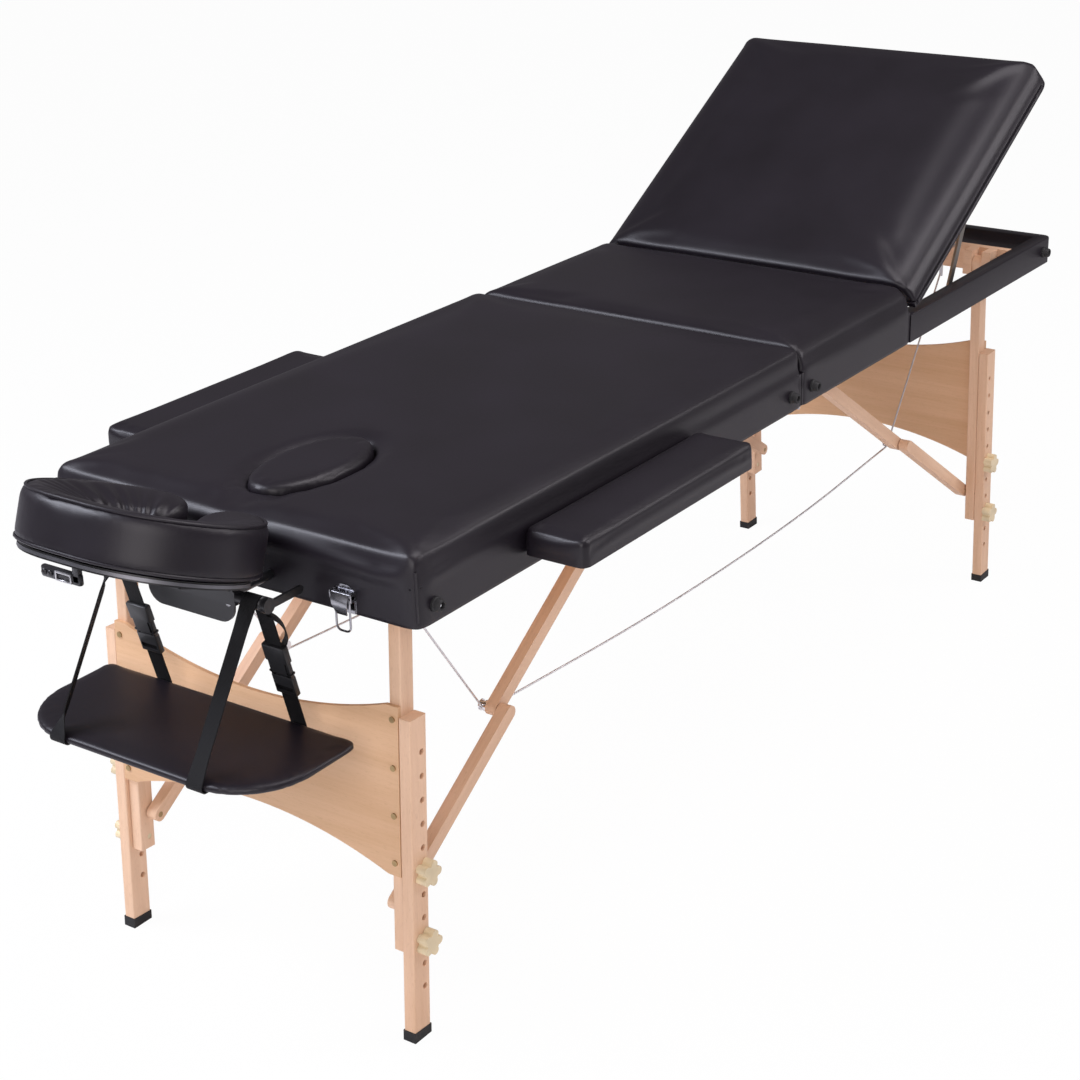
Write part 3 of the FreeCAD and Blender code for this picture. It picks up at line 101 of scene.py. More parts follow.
class Shading:
    """A node tree whose nodes all come from one method."""

    def __init__(self, tree):
        self.tree = tree

    def node(self, kind, settings=None, inputs=None, output=0):
        """Add a node: its settings first, then the values or links of its sockets."""
        node = self.tree.nodes.new(kind)
        for key, setting in (settings or {}).items():
            if key == "stops":
                self.set_stops(node.color_ramp, setting)
            else:
                setattr(node, key, setting)
        for key, value in (inputs or {}).items():
            self.feed(node.inputs[key], value)
        return Value(self, node.outputs[output])

    def set_stops(self, ramp, stops):
        while len(ramp.elements) < len(stops):
            ramp.elements.new(1.0)
        for element, (position, colour) in zip(ramp.elements, stops):
            element.position = position
            element.color = (*colour, 1.0)

    def feed(self, socket, value):
        """Link a socket to a value, or set it; a colour gets its alpha."""
        if isinstance(value, Value):
            self.tree.links.new(value.socket, socket)
        elif socket.type == "RGBA":
            socket.default_value = (*value, 1.0)
        else:
            socket.default_value = value

    def math(self, operation, first, second):
        return self.node("ShaderNodeMath", {"operation": operation}, {0: first, 1: second})


class Finish(Shading):
    """A material and the nodes that make its pattern."""

    # A Mix node's sockets for colours, by number
    FIRST_COLOUR, SECOND_COLOUR, MIXED_COLOUR = 6, 7, 2

    def __init__(self, name):
        self.material = bpy.data.materials.new(name)
        self.material.use_nodes = True
        super().__init__(self.material.node_tree)
        self.shader = self.tree.nodes["Principled BSDF"]

    def place(self, turn=(0.0, 0.0, 0.0), stretch=(1.0, 1.0, 1.0)):
        """Object coordinates, turned and then stretched."""
        point = self.node("ShaderNodeTexCoord", output="Object")
        turned = self.node("ShaderNodeMapping", inputs={"Vector": point, "Rotation": turn})
        return self.node("ShaderNodeMapping", inputs={"Vector": turned, "Scale": stretch})

    def noise(self, point, scale, detail=2.0, distortion=0.0):
        inputs = {"Vector": point, "Scale": scale, "Detail": detail, "Distortion": distortion}
        return self.node("ShaderNodeTexNoise", inputs=inputs)

    def ramp(self, factor, *stops):
        return self.node("ShaderNodeValToRGB", {"stops": stops}, {"Fac": factor})

    def blend(self, factor, first, second):
        """A mix of two colours."""
        inputs = {0: factor, self.FIRST_COLOUR: first, self.SECOND_COLOUR: second}
        return self.node("ShaderNodeMix", {"data_type": "RGBA"}, inputs, self.MIXED_COLOUR)

    def bump(self, height, strength, distance=0.0004):
        inputs = {"Height": height, "Strength": strength, "Distance": distance}
        self.surface(Normal=self.node("ShaderNodeBump", inputs=inputs))

    def surface(self, **inputs):
        """Set sockets of the shader, named with underscores for spaces."""
        for key, value in inputs.items():
            self.feed(self.shader.inputs[key.replace("_", " ")], value)


# Finishes

def leather(name, dark, light):
    """Grained black vinyl: fine pebbles, a soft cloudy sheen."""
    finish = Finish(name)
    point = finish.place()
    cloud = finish.noise(point, scale=7.0, detail=3.0)
    wander = finish.noise(point, scale=420.0, detail=1.0)
    pebble = finish.node("ShaderNodeTexVoronoi", {"feature": "F1"}, {"Vector": point, "Scale": 780.0})
    fine = finish.noise(point, scale=1900.0)
    finish.surface(Base_Color=finish.ramp(cloud, (0.3, dark), (0.75, light)))
    finish.surface(Roughness=0.34 + 0.1 * cloud + 0.06 * wander, Specular_IOR_Level=0.42)
    finish.bump(0.7 * pebble + 0.3 * fine, strength=0.16)
    return finish.material


def wood(name, turn, light, dark, fleck):
    """Beech, solid or ply: broad bands, pores and short dark flecks along the grain, turned from X."""
    finish = Finish(name)
    bands_at = finish.place(turn, stretch=(1.4, 17.0, 17.0))
    fibres_at = finish.place(turn, stretch=(7.0, 260.0, 260.0))
    dashes_at = finish.place(turn, stretch=(95.0, 1100.0, 1100.0))
    bands = finish.noise(bands_at, scale=1.6, detail=3.0, distortion=0.6)
    fibres = finish.noise(fibres_at, scale=1.0, detail=3.0)
    dashes = finish.noise(dashes_at, scale=1.0, detail=1.0)
    cloud = finish.noise(finish.place(turn), scale=4.0)
    tone = 0.55 * bands + 0.3 * fibres + 0.15 * cloud
    body = finish.ramp(tone, (0.32, dark), (0.62, light))
    flecks = (dashes > 0.66) * 0.25
    finish.surface(Base_Color=finish.blend(flecks, body, fleck))
    finish.surface(Roughness=0.42 + 0.2 * fibres, Specular_IOR_Level=0.4)
    finish.bump(fibres, strength=0.04)
    return finish.material


def metal(name, colour, rough, spread):
    """Plated steel with faint rubbing marks."""
    finish = Finish(name)
    marks = finish.noise(finish.place(stretch=(40.0, 40.0, 400.0)), scale=3.0, detail=3.0)
    wear = finish.noise(finish.place(), scale=60.0)
    shade = [0.86 * part for part in colour]
    finish.surface(Base_Color=finish.ramp(wear, (0.3, shade), (0.6, colour)), Metallic=1.0)
    finish.surface(Roughness=rough + spread * marks)
    finish.bump(marks, strength=0.05, distance=0.0003)
    return finish.material


def moulded(name, colour, rough, grain_size, depth):
    """Moulded plastic, rubber or paint with a fine eggshell grain."""
    finish = Finish(name)
    point = finish.place()
    grain = finish.noise(point, scale=grain_size)
    cloud = finish.noise(point, scale=30.0)
    shade = [0.8 * part for part in colour]
    finish.surface(Base_Color=finish.ramp(cloud, (0.3, shade), (0.7, colour)))
    finish.surface(Roughness=rough + 0.15 * grain)
    finish.bump(grain, strength=depth)
    return finish.material


def woven(name, dark, light):
    """Webbing: slanted ribs and crossing threads that follow the strap's own UV map, in millimetres."""
    finish = Finish(name)
    point = finish.node("ShaderNodeUVMap", {"uv_map": "strap"})
    ribs = finish.node("ShaderNodeTexWave", {"bands_direction": "DIAGONAL"},
                       {"Vector": point, "Scale": 0.22, "Distortion": 0.3}, "Fac")
    threads = finish.node("ShaderNodeTexWave", {"bands_direction": "Y"},
                          {"Vector": point, "Scale": 0.35, "Distortion": 0.2}, "Fac")
    weave = 0.6 * ribs + 0.4 * threads
    finish.surface(Base_Color=finish.ramp(weave, (0.2, dark), (0.8, light)))
    finish.surface(Roughness=0.6 + 0.25 * weave, Specular_IOR_Level=0.25)
    finish.bump(weave, strength=0.5, distance=0.0005)
    return finish.material


BEECH = dict(light=(0.82, 0.565, 0.385), dark=(0.70, 0.445, 0.28), fleck=(0.47, 0.26, 0.15))
PLY = dict(light=(0.74, 0.475, 0.28), dark=(0.64, 0.385, 0.205), fleck=(0.48, 0.26, 0.13))
black_leather = leather("black_leather", (0.0062, 0.0042, 0.0072), (0.0095, 0.0068, 0.0112))
beech_x = wood("beech_along", (0.0, 0.0, 0.0), **BEECH)
beech_y = wood("beech_across", (0.0, 0.0, QUARTER), **BEECH)
beech_z = wood("beech_upright", (0.0, QUARTER, 0.0), **BEECH)
ply_y = wood("ply_panel", (0.0, 0.0, QUARTER), **PLY)
ply_x = wood("ply_deck", (0.0, 0.0, 0.0), **PLY)
steel = metal("steel", (0.56, 0.56, 0.57), 0.28, 0.2)
chrome = metal("chrome", (0.80, 0.81, 0.83), 0.08, 0.08)
edging_grey = metal("edging_grey", (0.20, 0.20, 0.215), 0.35, 0.15)
cable_steel = metal("cable_steel", (0.78, 0.78, 0.80), 0.3, 0.15)
# Latch chrome with its colour darkened to a mid grey: a painted reflection of dark surroundings, not the
# chrome's own colour.
latch_chrome_painted_reflection = metal("latch_chrome_painted_reflection", (0.40, 0.40, 0.42), 0.14, 0.12)
prop_steel = metal("prop_steel", (0.30, 0.28, 0.25), 0.35, 0.2)
brass = metal("brass", (0.42, 0.30, 0.15), 0.35, 0.15)
rubber = moulded("rubber", (0.012, 0.012, 0.013), 0.55, 900.0, 0.3)
cream = moulded("cream_plastic", (0.80, 0.67, 0.43), 0.35, 700.0, 0.12)
black_plastic = moulded("black_plastic", (0.010, 0.010, 0.011), 0.28, 800.0, 0.15)
black_metal = moulded("black_metal", (0.013, 0.013, 0.015), 0.25, 1200.0, 0.1)
webbing = woven("webbing", (0.002, 0.002, 0.0025), (0.011, 0.011, 0.012))


# Meshes

SHARP = 0.7


def finished(name, bm, material):
    """Turn a bmesh into an object at the origin, with soft shading and sharp corners kept."""
    for face in bm.faces:
        face.smooth = True
    for edge in bm.edges:
        edge.smooth = edge.calc_face_angle(math.pi) < SHARP
    mesh = bpy.data.meshes.new(name)
    bm.to_mesh(mesh)
    bm.free()
    piece = bpy.data.objects.new(name, mesh)
    bpy.context.collection.objects.link(piece)
    mesh.materials.append(material)
    return piece


def add(piece, body):
    """Let a piece ride on a body."""
    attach(piece, body)


def block(low, high):
    """A box between two corners."""
    low, high = Vector(low), Vector(high)
    bm = bmesh.new()
    size = Matrix.Diagonal((*(high - low), 1.0))
    bmesh.ops.create_cube(bm, size=1.0, matrix=Matrix.Translation((low + high) / 2) @ size)
    return bm


def round_off(bm, radius, segments, chosen):
    """Bevel the edges that chosen(one end, other end) picks."""
    edges = [edge for edge in bm.edges if chosen(edge.verts[0].co, edge.verts[1].co)]
    bmesh.ops.bevel(bm, geom=edges, offset=radius, offset_type="OFFSET", affect="EDGES", segments=segments,
                    profile=0.5, material=-1, clamp_overlap=True)


def upright(first, second):
    return abs(first.x - second.x) + abs(first.y - second.y) < TINY


def at_height(level):
    return lambda first, second: abs(first.z - level) + abs(second.z - level) < TINY


def boxed(low, high, radius):
    """A block with every edge rounded."""
    bm = block(low, high)
    round_off(bm, radius, 2, lambda a, b: True)
    return bm


def rod(start, end, radius):
    """A solid cylinder between two points."""
    start, end = Vector(start), Vector(end)
    turn = (end - start).to_track_quat("Z", "Y").to_matrix().to_4x4()
    bm = bmesh.new()
    bmesh.ops.create_cone(bm, cap_ends=True, segments=20, radius1=radius, radius2=radius,
                          depth=(end - start).length, matrix=Matrix.Translation((start + end) / 2) @ turn)
    return bm


def close_up(bm, distance=TINY):
    """Merge doubled points and point the faces outwards."""
    bmesh.ops.remove_doubles(bm, verts=bm.verts, dist=distance)
    bmesh.ops.recalc_face_normals(bm, faces=bm.faces)


def taken(piece):
    """A piece's mesh as a bmesh, with the piece deleted."""
    bm = bmesh.new()
    bm.from_mesh(piece.data)
    bpy.data.objects.remove(piece)
    return bm


def merged(name, parts, material):
    """One piece made of several bmeshes."""
    bm = bmesh.new()
    for part in parts:
        mesh = bpy.data.meshes.new("part")
        part.to_mesh(mesh)
        part.free()
        bm.from_mesh(mesh)
        bpy.data.meshes.remove(mesh)
    return finished(name, bm, material)


def copy_of(node, name, material):
    """A welded copy of a CAD node's mesh."""
    bm = bmesh.new()
    bm.from_mesh(NODES[node].data)
    close_up(bm)
    return finished(name, bm, material)


def bake_modifiers(piece):
    """Replace a piece's mesh by what its modifiers make of it."""
    graph = bpy.context.evaluated_depsgraph_get()
    mesh = bpy.data.meshes.new_from_object(piece.evaluated_get(graph))
    piece.modifiers.clear()
    piece.data = mesh


def cut_away(piece, cutter, operation="DIFFERENCE"):
    """Subtract one piece from another, or keep what they share, and delete the cutter."""
    boolean = piece.modifiers.new("cut", "BOOLEAN")
    boolean.operation = operation
    boolean.solver = "MANIFOLD"
    boolean.object = cutter
    bake_modifiers(piece)
    bpy.data.objects.remove(cutter)


def remeshed(piece, voxel):
    """Even out a piece's faces, so that it can swell."""
    remesh = piece.modifiers.new("remesh", "REMESH")
    remesh.mode = "VOXEL"
    remesh.voxel_size = voxel
    remesh.use_smooth_shade = True
    bake_modifiers(piece)
    return piece


def subdivided(piece):
    finer = piece.modifiers.new("finer", "SUBSURF")
    finer.levels = finer.render_levels = 1
    bake_modifiers(piece)


def turn_about(piece, angle, centre):
    """Turn a piece's mesh about a Y axis through centre."""
    turn = Matrix.Rotation(angle, 4, "Y")
    piece.data.transform(Matrix.Translation(centre) @ turn @ Matrix.Translation(-Vector(centre)))


def swell(pads, pressure=2.5, frames=20):
    """Blow the pads up as cloth, all in one run, and limit how far each point moves.

    pads gives each piece the level below which its points are held, and its limit in metres.
    """
    rest = {}
    for piece, (level, limit) in pads.items():
        rest[piece] = [vertex.co.copy() for vertex in piece.data.vertices]
        group = piece.vertex_groups.new(name="held")
        group.add([number for number, point in enumerate(rest[piece]) if point.z < level], 1.0, "REPLACE")
        cloth = piece.modifiers.new("cloth", "CLOTH")
        cloth.settings.vertex_group_mass = "held"
        cloth.settings.use_pressure = True
        cloth.settings.uniform_pressure_force = pressure
        cloth.settings.effector_weights.gravity = 0.0
        cloth.settings.quality = 4
        cloth.collision_settings.use_collision = False
    scene = bpy.context.scene
    for number in range(1, frames + 1):
        scene.frame_set(number)
    for piece, (level, limit) in pads.items():
        bake_modifiers(piece)
        piece.vertex_groups.clear()
        for vertex, start in zip(piece.data.vertices, rest[piece]):
            step = vertex.co - start
            if step.length > limit:
                vertex.co = start + step * (limit / step.length)
    scene.frame_set(1)


# Places taken from the frame

fold = Vector(JOINTS["head_half_fold"]["pos_m"])
seam = Vector(JOINTS["backrest_tilt"]["pos_m"])
deck_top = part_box("head_deck")[1].z
rail_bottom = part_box("head_frame")[0].z
rail_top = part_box("head_frame")[1].z
half_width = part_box("head_pad")[1].y
pad_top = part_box("head_pad")[1].z
head_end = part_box("head_pad")[0].x
foot_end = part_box("foot_skin")[1].x


# Padded covers: how they stand off the wood, and how round they are before they swell

PROUD = 0.0016
SINK = 0.002
SPARE = 0.03
LIP = 0.014
BACKING = 0.0001
ROOM = 0.0002
CLEAR = 0.0004
FOLD_GAP = 0.0006
SEAM_GAP = 0.0004
cover_low = rail_bottom - 0.0006
TOP_EDGE = 0.030
SEAM_EDGE = 0.007
CORNER = 0.0145
ROOM_CORNER = 0.0135
FOLD_CORNER = 0.004
SEAT_VOXEL = 0.009
SMALL_VOXEL = 0.005
HOLE_GAP = 0.003
NEAR = 0.01
BELOW = 0.05
FAR = 0.1
BEYOND = 1

BACK_ANGLE = math.radians(30.0)
BOARD = 0.008
BOARD_INSET = 0.0012
BOARD_CORNER = 0.027
board_low = rail_top + 0.0005
back_end = foot_end - 0.003
BACK_OVER = 0.0056
BACK_CORNER = 0.028
BACK_END_EDGE = 0.016
BACK_ROLL = 0.046

ARMREST_PROUD = 0.0012
ARMREST_CORNER = 0.009
ARMREST_EDGE = 0.008
ARMREST_GAP = 0.0003
ARMREST_ROOM_CORNER = 0.010


def cushion_block(name, low, high, corners, soft_edges, seam_edges, edge=TOP_EDGE):
    """A block with rounded upright corners and top edges; seam edges are rounded less.

    corners holds a test for the corners that are rounded, and their radius.
    """
    is_rounded, radius = corners
    bm = block(low, high)
    round_off(bm, radius, 5, lambda a, b: upright(a, b) and is_rounded(a))
    level = at_height(high[2])
    round_off(bm, edge, 5, lambda a, b: level(a, b) and soft_edges((a + b) / 2))
    round_off(bm, SEAM_EDGE, 3, lambda a, b: level(a, b) and seam_edges((a + b) / 2))
    return finished(name, bm, black_leather)


def make_head_cover():
    low = (head_end - PROUD, -half_width - PROUD, cover_low - SPARE)
    high = (fold.x - FOLD_GAP, half_width + PROUD, pad_top - SINK)
    cover = cushion_block("head_cover", low, high, (lambda p: p.x < 0, CORNER),
                          lambda p: p.x < high[0] - NEAR, lambda p: p.x > high[0] - NEAR)
    hole_low, hole_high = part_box("face_plug")
    size = hole_high - hole_low
    hole = bmesh.new()
    bmesh.ops.create_cone(hole, cap_ends=True, segments=64, radius1=0.5, radius2=0.5, depth=3 * FAR)
    bmesh.ops.scale(hole, vec=(size.x + HOLE_GAP, size.y + HOLE_GAP, 1.0), verts=hole.verts)
    bmesh.ops.translate(hole, vec=(hole_low + hole_high) / 2, verts=hole.verts)
    cut_away(cover, finished("face_hole", hole, black_leather))
    return remeshed(cover, SEAT_VOXEL)


def make_foot_cover():
    low = (fold.x + FOLD_GAP, -half_width - PROUD, cover_low - SPARE)
    high = (seam.x - SEAM_GAP, half_width + PROUD, pad_top - SINK)
    side = half_width - NEAR
    cover = cushion_block("foot_cover", low, high, (lambda p: False, CORNER),
                          lambda p: abs(p.y) > side, lambda p: abs(p.y) < side)
    return remeshed(cover, SEAT_VOXEL)


def make_backrest_cover():
    """Built lying flat with rolled sides, and turned up once it is soft."""
    low = (seam.x + SEAM_GAP, -half_width - PROUD, board_low - SPARE)
    high = (back_end + BACK_OVER, half_width + PROUD, pad_top - SINK)
    cover = cushion_block("backrest_cover", low, high, (lambda p: p.x > seam.x + FAR, BACK_CORNER),
                          lambda p: p.x > seam.x + NEAR, lambda p: p.x < seam.x + NEAR, BACK_END_EDGE)
    top = high[2] + CLEAR
    roll = block((low[0] - FAR, low[1] - CLEAR, low[2] - FAR), (high[0] + FAR, high[1] + CLEAR, top))
    level = at_height(top)
    round_off(roll, BACK_ROLL, 8, lambda a, b: level(a, b) and abs(a.y - b.y) < TINY)
    cut_away(cover, finished("roll", roll, black_leather), "INTERSECT")
    return remeshed(cover, SEAT_VOXEL)


def make_armrest_cover(side):
    """Pad and board in one cover, with chamfered corners."""
    low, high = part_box(f"{side}_armrest_pad")
    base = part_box(f"{side}_armrest_base")[0].z
    proud = Vector((ARMREST_PROUD, ARMREST_PROUD, 0.0))
    bm = block(Vector((low.x, low.y, base - SPARE)) - proud, high + proud - Vector((0, 0, SINK)))
    round_off(bm, ARMREST_CORNER, 2, upright)
    round_off(bm, ARMREST_EDGE, 3, at_height(high.z - SINK))
    return remeshed(finished(f"{side}_armrest_cover", bm, black_leather), SMALL_VOXEL)


head_cover = make_head_cover()
foot_cover = make_foot_cover()
backrest_cover = make_backrest_cover()
armrest_covers = {side: make_armrest_cover(side) for side, sign in SIDES}
plug_pad = copy_of("face_plug", "face_plug_pad", black_leather)
cradle_pad = copy_of("cradle_cushion", "cradle_pad", black_leather)
shelf_pad = copy_of("arm_shelf", "arm_shelf_pad", black_leather)

CRADLE = dict(bend=0.087, spread=0.024, band=0.041, opening=24.0, fall=0.3, gather=0.06, pleats=34)
CRADLE_REACH, CRADLE_HEIGHT = 1.046, 0.740
CRADLE_TILT = math.radians(20.0)
cradle_axis = Vector(JOINTS["cradle_tilt"]["pos_m"])
cradle_centre = Vector((fold.x - CRADLE_REACH, 0.0, CRADLE_HEIGHT))
turn_about(cradle_pad, -CRADLE_TILT, cradle_axis)
for piece in (plug_pad, cradle_pad, shelf_pad):
    remeshed(piece, SMALL_VOXEL)


def lowest(piece):
    return min(vertex.co.z for vertex in piece.data.vertices)


def slope_cradle():
    """Let the cushion's top fall towards its opening, gathered round the left lobe."""
    level = Matrix.Rotation(-CRADLE_TILT, 3, "Y") @ (cradle_centre - cradle_axis) + cradle_axis
    floor = lowest(cradle_pad)
    for vertex in cradle_pad.data.vertices:
        x, y = vertex.co.x - level.x, vertex.co.y
        out = math.hypot(x, max(abs(y) - CRADLE["spread"], 0.0)) - CRADLE["bend"] + CRADLE["band"]
        inwards = min(1.0, max(0.0, 1.0 - out / (2 * CRADLE["band"])))
        angle = math.atan2(y, x)
        pleat = math.sin(CRADLE["pleats"] * angle + 2 * math.sin(7 * angle))
        gather = CRADLE["gather"] * pleat if y > 0.02 else 0.0
        vertex.co.z = floor + (vertex.co.z - floor) * (1.0 - (CRADLE["fall"] + gather) * inwards ** 1.4)


slope_cradle()
armrest_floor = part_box("right_armrest_base")[1].z
soft_pieces = {
    head_cover: (deck_top, 0.004),
    foot_cover: (deck_top, 0.004),
    backrest_cover: (board_low + BOARD, 0.005),
    plug_pad: (pad_top - 0.012, 0.0008),
    cradle_pad: (lowest(cradle_pad) + 0.008, 0.002),
    shelf_pad: (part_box("arm_shelf")[0].z + 0.003, 0.001),
    armrest_covers["right"]: (armrest_floor, 0.0012),
    armrest_covers["left"]: (armrest_floor, 0.0012),
}
swell(soft_pieces)
for piece in soft_pieces:
    subdivided(piece)


def trim_below(piece, level):
    """Cut a piece off flat, below a level."""
    slab = block((cad_low[0] - BEYOND, cad_low[1] - BEYOND, level - BEYOND),
                 (cad_high[0] + BEYOND, cad_high[1] + BEYOND, level))
    cut_away(piece, finished("slab", slab, black_leather))


def open_seat_cover(cover, low_x, high_x):
    """Cut out the room for the deck and the wrapped rails, and leave a lip under the rails."""
    trim_below(cover, cover_low)
    inner = half_width + BACKING
    room = block((low_x, -inner, rail_bottom), (high_x, inner, deck_top + ROOM))
    round_off(room, ROOM_CORNER, 5, lambda a, b: upright(a, b) and a.x < head_end + NEAR)
    round_off(room, FOLD_CORNER, 3, lambda a, b: upright(a, b) and abs(a.x - fold.x) < NEAR)
    cut_away(cover, finished("room", room, black_leather))
    passage = block((low_x + LIP, LIP - inner, cover_low - SPARE),
                    (high_x - LIP, inner - LIP, rail_top - LIP))
    cut_away(cover, finished("passage", passage, black_leather))


def open_backrest_cover():
    """Cut out the room for the board, and turn the cover up."""
    trim_below(backrest_cover, board_low + CLEAR)
    inner = half_width - BOARD_INSET
    room = block((seam.x - FAR, -inner, board_low - FAR),
                 (back_end - BOARD_INSET, inner, board_low + BOARD + ROOM))
    round_off(room, BOARD_CORNER, 5, lambda a, b: upright(a, b) and a.x > seam.x + FAR)
    cut_away(backrest_cover, finished("board_room", room, black_leather))
    turn_about(backrest_cover, -BACK_ANGLE, seam)


def open_armrest_cover(side):
    """Cut out the room for the armrest's board."""
    low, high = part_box(f"{side}_armrest_pad")
    base_low, base_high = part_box(f"{side}_armrest_base")
    trim_below(armrest_covers[side], base_low.z + ARMREST_GAP)
    room = block((low.x - ARMREST_GAP, low.y - ARMREST_GAP, base_low.z - BELOW),
                 (high.x + ARMREST_GAP, high.y + ARMREST_GAP, base_high.z + ROOM))
    round_off(room, ARMREST_ROOM_CORNER, 4, upright)
    cut_away(armrest_covers[side], finished("armrest_room", room, black_leather))


open_seat_cover(head_cover, head_end - BACKING, fold.x - FOLD_GAP - CLEAR)
open_seat_cover(foot_cover, fold.x + FOLD_GAP + CLEAR, seam.x + FAR)
open_backrest_cover()
turn_about(cradle_pad, CRADLE_TILT, cradle_axis)
for side, sign in SIDES:
    open_armrest_cover(side)
for piece, body, node in (
    (head_cover, "head_half", "head_pad"),
    (foot_cover, "foot_half", "foot_pad"),
    (backrest_cover, "backrest", "backrest_pad"),
    (plug_pad, "face_plug", "face_plug"),
    (cradle_pad, "cradle_head", "cradle_cushion"),
    (shelf_pad, "arm_shelf", "arm_shelf"),
    (armrest_covers["right"], "right_armrest", "right_armrest_pad"),
    (armrest_covers["left"], "left_armrest", "left_armrest_pad"),
):
    for face in piece.data.polygons:
        face.use_smooth = True
    piece.data.materials.clear()
    piece.data.materials.append(black_leather)
    add(piece, body)
    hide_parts(node)


# The foot frame's rails, wrapped in vinyl beyond the seat

RAIL_EDGE = 0.0022
RAIL_CORNER = 0.014
WELL_GAP = 0.0006


def make_rail_cover():
    """A vinyl shell round the rails, with a well between them."""
    rail_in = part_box("foot_leg_carrier")[1].y
    rail_out, frame_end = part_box("foot_frame")[1].y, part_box("foot_frame")[1].x
    end_rail = frame_end - (rail_out - rail_in)
    top = rail_top + CLEAR
    outer = half_width + PROUD
    bm = block((seam.x + SEAM_GAP, -outer, cover_low), (foot_end + PROUD, outer, top))
    round_off(bm, CORNER, 5, lambda a, b: upright(a, b) and a.x > seam.x + FAR)
    round_off(bm, RAIL_EDGE, 3, at_height(top))
    cover = finished("foot_rail_cover", bm, black_leather)
    well_y = rail_in - WELL_GAP
    well = block((seam.x - FAR, -well_y, cover_low - NEAR), (end_rail - WELL_GAP, well_y, top + NEAR))
    cut_away(cover, finished("well", well, black_leather))
    wrapped = half_width + BACKING
    rails = block((seam.x - FAR, -wrapped, rail_bottom - BACKING),
                  (foot_end + BACKING, wrapped, rail_top + BACKING))
    round_off(rails, RAIL_CORNER, 5, lambda a, b: upright(a, b) and a.x > seam.x + FAR)
    hollow = finished("rails", rails, black_leather)
    core_y = rail_in - BACKING
    core = block((seam.x - 2 * FAR, -core_y, rail_bottom - BELOW), (end_rail, core_y, rail_top + BELOW))
    cut_away(hollow, finished("core", core, black_leather))
    cut_away(cover, hollow)
    add(cover, "foot_half")


make_rail_cover()


# Steel cables

CABLE = 0.003
CABLE_LEVEL = 0.215
CLIP_ROUND = 0.0078
APART = 0.018
cable_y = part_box("head_cables")[1].y - CABLE / 2
cable_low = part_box("head_cables")[0].z + CABLE / 2


def spline_points(points):
    """Points along a smooth line with these control points."""
    curve = bpy.data.curves.new("route", "CURVE")
    curve.dimensions = "3D"
    curve.resolution_u = 12
    spline = curve.splines.new("NURBS")
    spline.points.add(len(points) - 1)
    for point, place in zip(spline.points, points):
        point.co = (*place, 1.0)
    spline.order_u = 3
    spline.use_endpoint_u = True
    route = bpy.data.objects.new("route", curve)
    mesh = bpy.data.meshes.new_from_object(route)
    line = [vertex.co.copy() for vertex in mesh.vertices]
    bpy.data.meshes.remove(mesh)
    bpy.data.objects.remove(route)
    bpy.data.curves.remove(curve)
    return line


def tube(name, line, radius, material, sides=10, closed=False):
    """A round tube along a line of points."""
    curve = bpy.data.curves.new(name, "CURVE")
    curve.dimensions = "3D"
    curve.bevel_depth = radius
    curve.bevel_resolution = max(1, sides // 2 - 2)
    curve.use_fill_caps = not closed
    spline = curve.splines.new("POLY")
    spline.points.add(len(line) - 1)
    for point, place in zip(spline.points, line):
        point.co = (*place, 1.0)
    spline.use_cyclic_u = closed
    holder = bpy.data.objects.new(name, curve)
    bm = bmesh.new()
    mesh = bpy.data.meshes.new_from_object(holder)
    bm.from_mesh(mesh)
    close_up(bm, 1e-7)
    bpy.data.meshes.remove(mesh)
    bpy.data.objects.remove(holder)
    bpy.data.curves.remove(curve)
    return finished(name, bm, material)


def cable_route(end, sign):
    """Control points of one end's cables, given on the middle plane, from the eye to the fold line."""
    box_low, box_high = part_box(f"{end}_cables")
    bolt_low, bolt_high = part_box(f"{end}_elbow_bolts")
    elbow = (bolt_low + bolt_high) / 2
    eye = Vector((box_low.x if sign < 0 else box_high.x, 0, box_high.z))
    corner = Vector((elbow.x, 0, elbow.z - CLIP_ROUND))
    level = Vector((fold.x + sign * CABLE_LEVEL, 0, cable_low))
    middle = Vector((fold.x, 0, cable_low))
    up = (eye - corner).normalized()
    away = (level - corner).normalized()
    return [eye, corner + up * APART, corner, corner + away * APART, level, middle]


def make_cable(end, side, route):
    """A taut cable along a route, riding on its half."""
    line = spline_points(route)
    cable = tube(f"{end}_{side}_cable", line, CABLE / 2, cable_steel)
    add(cable, f"{end}_half")
    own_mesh(cable)
    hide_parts(f"{end}_cables")


for end, sign in ENDS:
    for side, across in SIDES:
        out = Vector((0, across * cable_y, 0))
        make_cable(end, side, [point + out for point in cable_route(end, sign)])


# Webbing straps and buckles of the arm shelf

MILLIMETRES = 1000
STRAP_HALF = 0.0125
STRAP_THICK = 0.0016
STRAP_STEP = 0.008
LONG_RUN = 0.1
FRONT_TWIST = {"right": 10.0, "left": 56.0}
TWIST_RISE = 2.2


